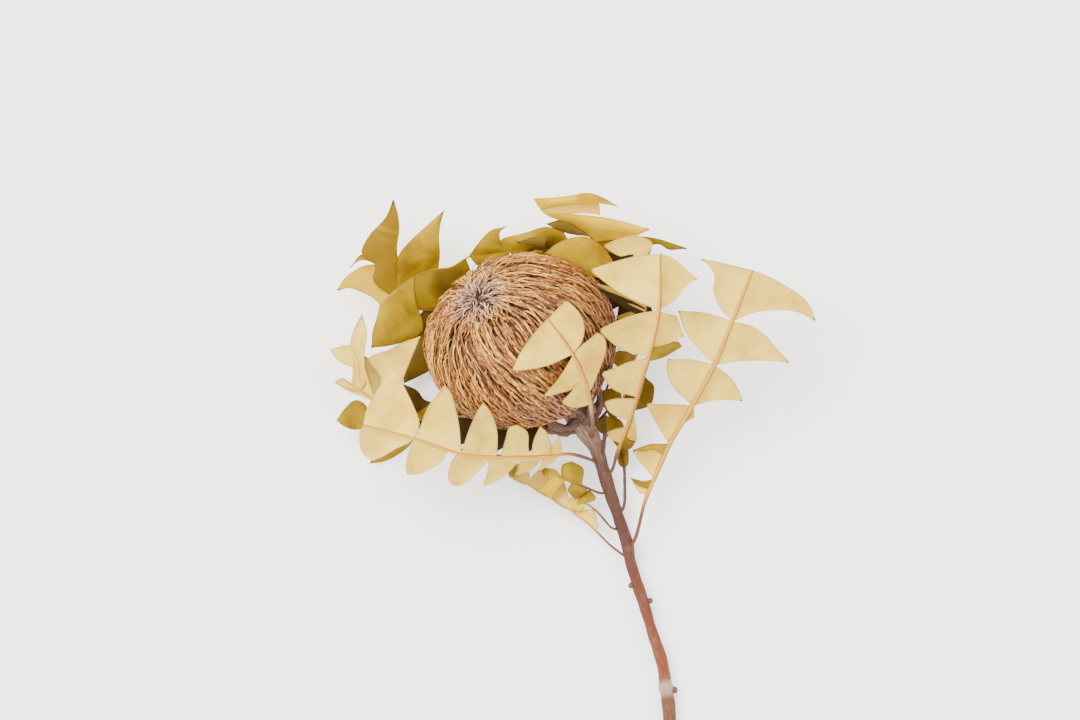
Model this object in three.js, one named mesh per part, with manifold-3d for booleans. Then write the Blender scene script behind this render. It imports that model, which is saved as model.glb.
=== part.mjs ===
// Dried birds nest banksia: one cut flower, laid on its side.
// Millimetres, +Z up. The flower head rests on a small flat spot at the origin, the stem runs
// towards -Y, and +Z is the side that the flower shows to the eye.

import * as THREE from 'three';
import { mergeVertices } from 'three/addons/utils/BufferGeometryUtils.js';
import Module from 'manifold-3d';

const wasm = await Module();
wasm.setup();

// Driving sizes of the flower head
const HEAD_RADIUS_ACROSS = 43;
const HEAD_RADIUS_ALONG = 38;
const HEAD_CENTRE = new THREE.Vector3(-0.6, -1.2, 40);
const HEAD_AXIS = new THREE.Vector3(-0.52, 0.54, 0.66).normalize();
const HEAD_SQUASH = new THREE.Vector3(0.965, 0.885, 1);
const CORE_SEGMENTS_ROUND = 24;
const CORE_SEGMENTS_ALONG = 14;

// Driving sizes of the styles that lie over the head like thatch
const STYLE_LENGTH = 25;
const STYLE_WIDTH = 3.3;
const STYLE_ROW_STEP = 16;
const STYLE_LIFT = 2.2;
const STYLE_ROOT_DEPTH = 2.5;
const STYLE_SEED = 14;

// How far styles differ: share of length and of lift, share of the gap to the next, angle of the row
const STYLE_LENGTH_SPREAD = 0.24;
const STYLE_LIFT_SPREAD = 0.4;
const STYLE_TURN_SPREAD = 0.12;
const STYLE_POLAR_SPREAD = 0.05;

// Block under the floor that cuts the head flat where it rests
const FLOOR_BLOCK = [200, 200, 20];

// Angles from the pole, in radians, where the rows of styles start and stop
const FIRST_ROW = 0.06;
const LAST_ROW = 2.64;

// Styles in a row: the most, then the share at the pole and what the middle adds to it
const STYLES_ROUND = 28;
const STYLES_AT_POLE = 0.4;
const STYLES_TO_MIDDLE = 0.75;

// Styles lie away from the pole, then turn to the neck between these angles from the pole
const NECK_WAY = new THREE.Vector3(0.6, -0.77, -0.24);
const TURN_FROM = 0.15;
const TURN_OVER = 0.8;

// How far locks of styles lean to a side, and each style's own share of that, in radians
const LOCK_LEAN = 0.16;
const STYLE_STRAY = 0.2;

// Locks round the head, and how they wind as they come down from the pole
const LOCKS_ROUND = 4;
const LOCKS_WIND = 3;

// Rings of a style between its sunk root and its tip: share of length, of lift and of width
const STYLE_RINGS = [
  [0.3, 1, 1],
  [0.66, 1.05, 0.85],
];
const STYLE_ROOT_WIDTH = 0.8;
const STYLE_TIP_LIFT = 0.5;
const STYLE_EDGE_DROP = 0.4;
const STYLE_CROWN = 0.7;

// Driving sizes of the stem and of the bracts round the foot of the head
const STEM_SIDES = 10;
const BRACT_COUNT = 11;
const BRACT_SIDES = 5;
const BRACT_LENGTH = 11;
const BRACT_LENGTH_SPREAD = 0.3;
const BRACT_RISE = 3;
const BRACT_WIDTH = 4.2;
const BRACT_THICKNESS = 2.2;
const BRACT_ROOT_OUT = 6;
const BRACT_ROOT_BACK = 2.4;
const BRACT_SEED = 5;
const RECEPTACLE_RADIUS = 9.5;
const RECEPTACLE_DEPTH = 4;
const RECEPTACLE_SEGMENTS = [12, 6];

// Woody arms that part from the neck round the foot of the head
const NECK_ARMS = [
  [[26, -37, 17], [20, -41, 20], [13.5, -39.5, 25], [10.5, -35, 29], [11.5, -30, 32]],
  [[27, -35, 20], [23, -31, 27], [20, -28.5, 32], [17, -26, 34]],
  [[24, -42, 12], [17, -43, 15], [10, -41, 19], [5, -37, 20]],
  [[30, -40, 14], [34, -34, 18], [35, -27, 22], [33, -21, 25]],
  [[28, -38, 16], [31, -33, 24], [30, -28, 30], [27, -24, 34]],
];
const ARM_RADIUS = 2.3;
const ARM_END_RADIUS = 1.5;
const ARM_SIDES = 5;

// Driving sizes of the leaves
const BLADE_THICKNESS = 0.8;
const BLADE_FLOOR = 0.45;
const BLADE_ROWS_LEAST = 2;
const BLADE_ROWS_MOST = 5;
const ROWS_TO_TIP = 1.2;
const LOBE_OVERLAP = 0.02;
const RIB_SIDES = 6;
const PETIOLE_RADIUS = 0.65;
const RIB_RADIUS = 0.6;
const RIB_LEAST_RADIUS = 0.5;

// Shares of a rib's length where it reaches its full radius, and where it starts to narrow
const RIB_FULL_AT = 0.45;
const RIB_NARROWS_AT = 0.7;
const RIB_NARROWING = 0.45;

// Point over the flower from which the places of the leaves are given
const EYE = [7.82, -10.12, 2500];

// Clearance between touching pieces
const GAP = 0.3;

// Finest detail kept on the stem and the leaves; the styles keep all of theirs
const FINEST_DETAIL = 0.03;

// Stem centreline from the cut end to the collar under the head, each with its radius
const STEM_LINE = [
  [64, -232, 3.1, 3.1],
  [67, -205, 3.3, 3.0],
  [67.5, -185, 3.9, 2.9],
  [67.2, -172.5, 4.4, 3.0],
  [65.8, -161, 4.9, 3.1],
  [63.9, -149, 5.3, 2.7],
  [59.3, -134.8, 6.0, 2.6],
  [55.2, -121, 6.6, 2.6],
  [52, -111.3, 7.2, 2.7],
  [49.2, -102.1, 7.7, 2.7],
  [48, -95.2, 8.0, 2.8],
  [44.2, -83.3, 8.6, 2.8],
  [40, -70.8, 9.1, 2.9],
  [36.3, -58.9, 9.5, 3.1],
  [33.6, -50.6, 9.8, 3.6],
  [30.4, -44.4, 10.4, 4.5],
  [26.4, -36.6, 12.4, 6.4],
  [23.6, -29.6, 15.2, 8.2],
  [21.4, -23, 18.6, 8.0],
];

// Knob and swellings on the stem: x, y, z, radius
const STEM_KNOBS = [
  [66.2, -160.5, 4.9, 3.5],
  [69.3, -161.5, 5.2, 1.6],
  [49.6, -113.5, 7.6, 1.3],
  [58.4, -120.4, 7.0, 1.3],
];

const COLOURS = {
  pale: 0xe4d4a2,
  olive: 0xb8962f,
  yellow: 0xd9b43c,
  stem: 0x8f5f4c,
  head: 0xbe8b57,
};

// Repeatable random draw from 0 to 1, and a draw round a middle value

const RANDOM_FACTOR = 16807;
const RANDOM_PERIOD = 2147483647;

function seededRandom(seed) {
  let state = seed;
  return () => {
    state = (state * RANDOM_FACTOR) % RANDOM_PERIOD;
    return state / RANDOM_PERIOD;
  };
}

function around(middle, spread, random) {
  return middle + spread * (random() - 0.5);
}

// Solids: meshes with merged corners, joined and cut

const SAME_PLACE = 1e-5;

function toSolid(geometry) {
  const bare = geometry.clone();
  bare.deleteAttribute('normal');
  bare.deleteAttribute('uv');
  const merged = mergeVertices(bare, SAME_PLACE);
  return new wasm.Manifold(new wasm.Mesh({
    numProp: 3,
    vertProperties: new Float32Array(merged.attributes.position.array),
    triVerts: new Uint32Array(merged.index.array),
  }));
}

function joinAll(solids) {
  let pool = solids;
  while (pool.length > 1) {
    const next = [];
    for (let i = 0; i < pool.length; i += 2) {
      next.push(i + 1 < pool.length ? pool[i].add(pool[i + 1]) : pool[i]);
    }
    pool = next;
  }
  return pool[0];
}

function toGeometry({ vertProperties, triVerts }) {
  const geometry = new THREE.BufferGeometry();
  geometry.setAttribute('position', new THREE.BufferAttribute(new Float32Array(vertProperties), 3));
  geometry.setIndex(Array.from(triVerts));
  return geometry;
}

// The outer skin of a solid's main body: loose scraps and the skins of sealed hollows are left off,
// and slivers finer than a detail are merged into the faces beside them

function outerSkin(solid, detail) {
  const whole = toSolid(toGeometry(solid.getMesh()));
  const settled = detail > 0 ? whole.simplify(detail) : whole;
  const { vertProperties: places, triVerts: corners } = settled.getMesh();
  const leader = Array.from({ length: places.length / 3 }, (_, corner) => corner);
  const find = (corner) => {
    let at = corner;
    while (leader[at] !== at) {
      leader[at] = leader[leader[at]];
      at = leader[at];
    }
    return at;
  };
  for (let i = 0; i < corners.length; i += 3) {
    leader[find(corners[i + 1])] = find(corners[i]);
    leader[find(corners[i + 2])] = find(corners[i]);
  }
  const place = (corner) => new THREE.Vector3().fromArray(places, 3 * corner);
  const skins = new Map();
  for (let i = 0; i < corners.length; i += 3) {
    const [a, b, c] = corners.slice(i, i + 3);
    const key = find(a);
    const skin = skins.get(key) ?? { volume: 0, triangles: [] };
    skin.volume += place(a).dot(place(b).cross(place(c)));
    skin.triangles.push(a, b, c);
    skins.set(key, skin);
  }
  const outer = [...skins.values()].sort((one, other) => other.volume - one.volume)[0];
  const skin = toGeometry({ vertProperties: places, triVerts: outer.triangles });
  return mergeVertices(skin.toNonIndexed(), SAME_PLACE);
}

// A round bar with closed ends, bent along a curve: radiusAt gives its radius from 0 to 1

function bentBar(curve, radiusAt, sides, steps) {
  const bar = new THREE.CylinderGeometry(1, 1, 1, sides, steps);
  const frames = curve.computeFrenetFrames(steps, false);
  const position = bar.attributes.position;
  const across = new THREE.Vector3();
  for (let i = 0; i < position.count; i += 1) {
    const step = Math.round((position.getY(i) + 0.5) * steps);
    const share = step / steps;
    const radius = radiusAt(share);
    across.set(0, 0, 0);
    across.addScaledVector(frames.normals[step], position.getX(i) * radius);
    across.addScaledVector(frames.binormals[step], -position.getZ(i) * radius);
    const place = curve.getPointAt(share).add(across);
    position.setXYZ(i, place.x, place.y, place.z);
  }
  return bar;
}

// A thin blade from rows of three points and a pointed end, the same triangles on both faces

function bladeFromRows(rows, tip, normal, thickness) {
  const half = normal.clone().multiplyScalar(thickness / 2);
  const places = [...rows.flat(), tip];
  const corners = [];
  for (const offset of [half, half.clone().negate()]) {
    corners.push(...places.map((place) => place.clone().add(offset)));
  }
  const columns = rows[0].length;
  const lower = places.length;
  const at = (row, column) => (row === rows.length ? places.length - 1 : row * columns + column);
  const triangles = [];
  const face = (a, b, c) => triangles.push([a, b, c], [lower + a, lower + c, lower + b]);
  const wall = (a, b) => triangles.push([b, a, lower + a], [b, lower + a, lower + b]);
  for (let row = 0; row < rows.length; row += 1) {
    for (let column = 0; column < columns - 1; column += 1) {
      face(at(row, column), at(row, column + 1), at(row + 1, column + 1));
      if (row < rows.length - 1) {
        face(at(row, column), at(row + 1, column + 1), at(row + 1, column));
      }
    }
    wall(at(row + 1, 0), at(row, 0));
    wall(at(row, columns - 1), at(row + 1, columns - 1));
  }
  for (let column = 0; column < columns - 1; column += 1) {
    wall(at(0, column), at(0, column + 1));
  }
  const geometry = new THREE.BufferGeometry();
  geometry.setFromPoints(corners);
  geometry.setIndex(triangles.flat());
  return geometry;
}

// A leaf's places are written as they look against the ground from the point over the flower,
// with their true height: what stands higher looks larger, so it is drawn in

function asSeen([x, y, z]) {
  const shrink = 1 - z / EYE[2];
  return new THREE.Vector3(EYE[0] + (x - EYE[0]) * shrink, EYE[1] + (y - EYE[1]) * shrink, z);
}

// Leaf lobes: each grows from a stretch of the midrib, between two of its points, to a tip.
// The near edge is on the stem side and the far edge on the end side: a share of the length
// that a plain edge swells by, or the places that the edge passes through

function lobe(from, to, tip, near = 0.16, far = 0.05, { bend = 0.04, arch = 0.07, flipped = false } = {}) {
  return { from, to, tip: asSeen(tip), near, far, bend, arch, flipped };
}

// How a plain edge swells: share of its length, then of its swell
const PLAIN_SWELL = [
  [0.2, 0.75],
  [0.45, 1],
  [0.75, 0.62],
];

function edgeCurve(root, tip, shape, normal, sign) {
  const chord = tip.clone().sub(root);
  const outward = chord.clone().cross(normal).normalize().multiplyScalar(sign * chord.length());
  const heightAt = ([x, y]) => root.z - ((x - root.x) * normal.x + (y - root.y) * normal.y) / normal.z;
  const middle = Array.isArray(shape)
    ? shape.map((place) => asSeen([...place, heightAt(place)]))
    : PLAIN_SWELL.map(([share, swell]) => root.clone()
      .addScaledVector(chord, share)
      .addScaledVector(outward, shape * swell));
  return new THREE.CatmullRomCurve3([root, ...middle, tip], false, 'centripetal');
}

function rowsOf({ near, far }) {
  const places = Math.max(...[near, far].map((shape) => (Array.isArray(shape) ? shape.length : 0)));
  return THREE.MathUtils.clamp(places + 1, BLADE_ROWS_LEAST, BLADE_ROWS_MOST);
}

function lobeBlade(curve, points, shape, cupping) {
  const ribAt = (share) => curve.getPoint(THREE.MathUtils.lerp(shape.from, shape.to, share) / (points - 1));
  const [start, middle, end] = [ribAt(0), ribAt(0.5), ribAt(1)];
  const { tip } = shape;
  const base = end.clone().sub(start);
  start.addScaledVector(base, -LOBE_OVERLAP);
  end.addScaledVector(base, LOBE_OVERLAP);
  const normal = base.cross(tip.clone().sub(start)).normalize();
  const crown = cupping * (normal.z < 0 ? -1 : 1) * (shape.flipped ? -1 : 1);
  const straight = start.clone().add(end).multiplyScalar(0.5);
  const length = tip.distanceTo(straight);
  const near = edgeCurve(start, tip, shape.near, normal, -1);
  const far = edgeCurve(end, tip, shape.far, normal, 1);
  const steps = rowsOf(shape);
  const rows = [];
  for (let row = 0; row < steps; row += 1) {
    const s = 1 - (1 - row / steps) ** ROWS_TO_TIP;
    const [one, other] = [near.getPointAt(s), far.getPointAt(s)];
    const lift = 4 * s * (1 - s) * crown * shape.bend * length;
    const arch = crown * shape.arch * one.distanceTo(other) * Math.min(1, 4 * s);
    const centre = one.clone().add(other).multiplyScalar(0.5);
    centre.addScaledVector(middle.clone().sub(straight), (1 - s) ** 2);
    centre.addScaledVector(normal, arch);
    const across = [one, centre, other];
    for (const place of across) {
      place.addScaledVector(normal, lift);
      place.z = Math.max(place.z, BLADE_FLOOR);
    }
    rows.push(across);
  }
  return bladeFromRows(rows, tip, normal, BLADE_THICKNESS);
}

// A curve whose shares count its own points, so that rings and lobes meet at them

function smoothCurve(line) {
  const curve = new THREE.CatmullRomCurve3(line, false, 'centripetal');
  curve.getUtoTmapping = (share) => share;
  return curve;
}

function ribRadiusAt(share, petiole, rib) {
  const radius = THREE.MathUtils.lerp(petiole, rib, Math.min(1, share / RIB_FULL_AT));
  const narrowed = Math.max(0, (share - RIB_NARROWS_AT) / (1 - RIB_NARROWS_AT));
  return Math.max(RIB_LEAST_RADIUS, radius * (1 - RIB_NARROWING * narrowed));
}

function leafSolid({ rib, lobes, shows, ribRadius = RIB_RADIUS, petioleRadius = PETIOLE_RADIUS }) {
  const cupping = shows === 'underside' ? -1 : 1;
  const curve = smoothCurve(rib.map(asSeen));
  const radiusAt = (share) => ribRadiusAt(share, petioleRadius, ribRadius);
  const parts = [toSolid(bentBar(curve, radiusAt, RIB_SIDES, rib.length - 1))];
  for (const shape of lobes) {
    parts.push(toSolid(lobeBlade(curve, rib.length, shape, cupping)));
  }
  return joinAll(parts);
}

// Stem: woody bar with a collar, a ring and knob near the cut, leaf scars and bracts

function stemSolid(grow) {
  const curve = smoothCurve(STEM_LINE.map(([x, y, z]) => new THREE.Vector3(x, y, z)));
  const spans = STEM_LINE.length - 1;
  const radiusAt = (share) => {
    const span = Math.min(Math.floor(share * spans), spans - 1);
    const [from, to] = [STEM_LINE[span][3], STEM_LINE[span + 1][3]];
    return THREE.MathUtils.lerp(from, to, share * spans - span) + grow;
  };
  const parts = [toSolid(bentBar(curve, radiusAt, STEM_SIDES, spans))];
  for (const [x, y, z, size] of STEM_KNOBS) {
    const knob = new THREE.IcosahedronGeometry(size + grow, 1);
    knob.translate(x, y, z);
    parts.push(toSolid(knob));
  }
  for (const places of NECK_ARMS) {
    const line = places.map((place) => new THREE.Vector3(...place));
    const [before, last] = line.slice(-2);
    last.add(last.clone().sub(before).setLength(grow));
    const arm = smoothCurve(line);
    const armRadiusAt = (share) => THREE.MathUtils.lerp(ARM_RADIUS, ARM_END_RADIUS, share) + grow;
    parts.push(toSolid(bentBar(arm, armRadiusAt, ARM_SIDES, places.length - 1)));
  }
  const [round, along] = RECEPTACLE_SEGMENTS;
  const receptacle = headSphere(RECEPTACLE_RADIUS + grow, RECEPTACLE_DEPTH + grow, round, along);
  const seat = headPoint(new THREE.Vector3(0, 0, -1), 0).addScaledVector(HEAD_AXIS, -BRACT_ROOT_BACK);
  receptacle.translate(seat.x, seat.y, seat.z);
  parts.push(toSolid(receptacle));
  parts.push(...bractCones(grow, seat));
  return joinAll(parts);
}

// Felted bracts: flat pointed cones that stand out of the receptacle round the foot of the head

function bractCones(grow, seat) {
  const random = seededRandom(BRACT_SEED);
  const cones = [];
  for (let i = 0; i < BRACT_COUNT; i += 1) {
    const angle = (i / BRACT_COUNT) * Math.PI * 2;
    const reach = BRACT_LENGTH * around(1, BRACT_LENGTH_SPREAD, random) + 2 * grow;
    const outward = HEAD_SIDE.clone().multiplyScalar(Math.cos(angle));
    outward.addScaledVector(HEAD_UP, Math.sin(angle));
    outward.addScaledVector(HEAD_AXIS, BRACT_RISE / BRACT_LENGTH).normalize();
    const along = new THREE.Vector3().crossVectors(HEAD_AXIS, outward).normalize();
    const through = new THREE.Vector3().crossVectors(along, outward);
    const cone = new THREE.ConeGeometry(1, 1, BRACT_SIDES);
    cone.translate(0, 0.5, 0);
    cone.scale(BRACT_WIDTH / 2 + grow, reach, BRACT_THICKNESS / 2 + grow);
    cone.applyMatrix4(new THREE.Matrix4().makeBasis(along, outward, through));
    const root = seat.clone().addScaledVector(outward, BRACT_ROOT_OUT);
    cone.translate(root.x, root.y, root.z);
    cones.push(toSolid(cone));
  }
  return cones;
}

// Flower head: a woody core under rows of wiry styles that hang from the pole to the foot

const HEAD_SIDE = new THREE.Vector3().crossVectors(HEAD_AXIS, new THREE.Vector3(0, 0, 1)).normalize();
const HEAD_UP = new THREE.Vector3().crossVectors(HEAD_SIDE, HEAD_AXIS).normalize();
const POLE = new THREE.Vector3(0, 0, 1);
const NECK = new THREE.Vector3(NECK_WAY.dot(HEAD_SIDE), NECK_WAY.dot(HEAD_UP), NECK_WAY.dot(HEAD_AXIS));
NECK.normalize();

// The place over the core that a direction across, up and along the head points at

function headPoint(unit, height) {
  return new THREE.Vector3()
    .addScaledVector(HEAD_SIDE, unit.x * (HEAD_RADIUS_ACROSS + height))
    .addScaledVector(HEAD_UP, unit.y * (HEAD_RADIUS_ACROSS + height))
    .addScaledVector(HEAD_AXIS, unit.z * (HEAD_RADIUS_ALONG + height))
    .multiply(HEAD_SQUASH)
    .add(HEAD_CENTRE);
}

// The way that a style lies at a place on the head

function styleWay(unit, stray) {
  const angle = unit.angleTo(POLE);
  const away = unit.clone().multiplyScalar(unit.z).sub(POLE).normalize();
  const home = NECK.clone().addScaledVector(unit, -unit.dot(NECK)).normalize();
  const pull = THREE.MathUtils.clamp((angle - TURN_FROM) / TURN_OVER, 0, 1);
  const lock = LOCK_LEAN * Math.sin(LOCKS_ROUND * Math.atan2(unit.y, unit.x) + LOCKS_WIND * angle);
  return away.lerp(home, pull).normalize().applyAxisAngle(unit, lock + stray);
}

// A flattened ball whose poles lie on the axis of the head

function headSphere(across, along, segmentsRound, segmentsAlong) {
  const ball = new THREE.SphereGeometry(1, segmentsRound, segmentsAlong);
  ball.scale(across, along, across);
  const turn = new THREE.Quaternion().setFromUnitVectors(new THREE.Vector3(0, 1, 0), HEAD_AXIS);
  return ball.applyQuaternion(turn);
}

function coreSolid() {
  const core = headSphere(HEAD_RADIUS_ACROSS, HEAD_RADIUS_ALONG, CORE_SEGMENTS_ROUND, CORE_SEGMENTS_ALONG);
  core.scale(HEAD_SQUASH.x, HEAD_SQUASH.y, HEAD_SQUASH.z);
  core.translate(HEAD_CENTRE.x, HEAD_CENTRE.y, HEAD_CENTRE.z);
  return toSolid(core);
}

function styleBlade(polar, turn, random) {
  const length = STYLE_LENGTH * around(1, STYLE_LENGTH_SPREAD, random);
  const stray = around(0, STYLE_STRAY, random);
  const lift = STYLE_LIFT * around(1, STYLE_LIFT_SPREAD, random);
  const unit = new THREE.Vector3().setFromSphericalCoords(1, polar, turn);
  unit.set(unit.z, unit.x, unit.y);
  let reached = 0;
  const goTo = (share) => {
    const way = styleWay(unit, stray);
    unit.addScaledVector(way, ((share - reached) * length) / HEAD_RADIUS_ACROSS).normalize();
    reached = share;
    return way.cross(unit);
  };
  const ring = (share, height, width) => {
    const sideways = goTo(share);
    const half = (STYLE_WIDTH / 2) * width;
    const edge = (sign) => {
      const aside = unit.clone().addScaledVector(sideways, (sign * half) / HEAD_RADIUS_ACROSS).normalize();
      return headPoint(aside, height - half * STYLE_EDGE_DROP);
    };
    return [edge(1), headPoint(unit, height + half * STYLE_CROWN), edge(-1)];
  };
  const corners = ring(0, -STYLE_ROOT_DEPTH, STYLE_ROOT_WIDTH);
  for (const [share, rise, width] of STYLE_RINGS) {
    corners.push(...ring(share, lift * rise, width));
  }
  goTo(1);
  corners.push(headPoint(unit, lift * STYLE_TIP_LIFT));
  const triangles = [[0, 2, 1]];
  for (let k = 0; k < 3; k += 1) {
    const next = (k + 1) % 3;
    triangles.push([k, next, next + 3], [k, next + 3, k + 3]);
    triangles.push([k + 3, next + 3, next + 6], [k + 3, next + 6, k + 6]);
    triangles.push([k + 6, next + 6, 9]);
  }
  const geometry = new THREE.BufferGeometry();
  geometry.setFromPoints(corners);
  geometry.setIndex(triangles.flat());
  return geometry;
}

// Styles in the row that starts at an angle from the pole: fewer near the pole and the foot

function stylesInRow(polar) {
  const share = STYLES_AT_POLE + STYLES_TO_MIDDLE * Math.sin(polar);
  return Math.round(STYLES_ROUND * Math.min(1, share));
}

function headSolid() {
  const random = seededRandom(STYLE_SEED);
  const parts = [coreSolid()];
  const polarStep = STYLE_ROW_STEP / HEAD_RADIUS_ACROSS;
  let row = 0;
  for (let polar = FIRST_ROW; polar < LAST_ROW; polar += polarStep) {
    const count = stylesInRow(polar);
    for (let i = 0; i < count; i += 1) {
      const turn = (around(i + 0.5 * (row % 2), STYLE_TURN_SPREAD, random) / count) * Math.PI * 2;
      parts.push(toSolid(styleBlade(around(polar, STYLE_POLAR_SPREAD, random), turn, random)));
    }
    row += 1;
  }
  const below = new THREE.BoxGeometry(...FLOOR_BLOCK);
  below.translate(0, 0, -FLOOR_BLOCK[2] / 2);
  return joinAll(parts).subtract(toSolid(below));
}

// Leaves: midrib points from the stem to the leaf's end, then the lobes on both sides of it

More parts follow.
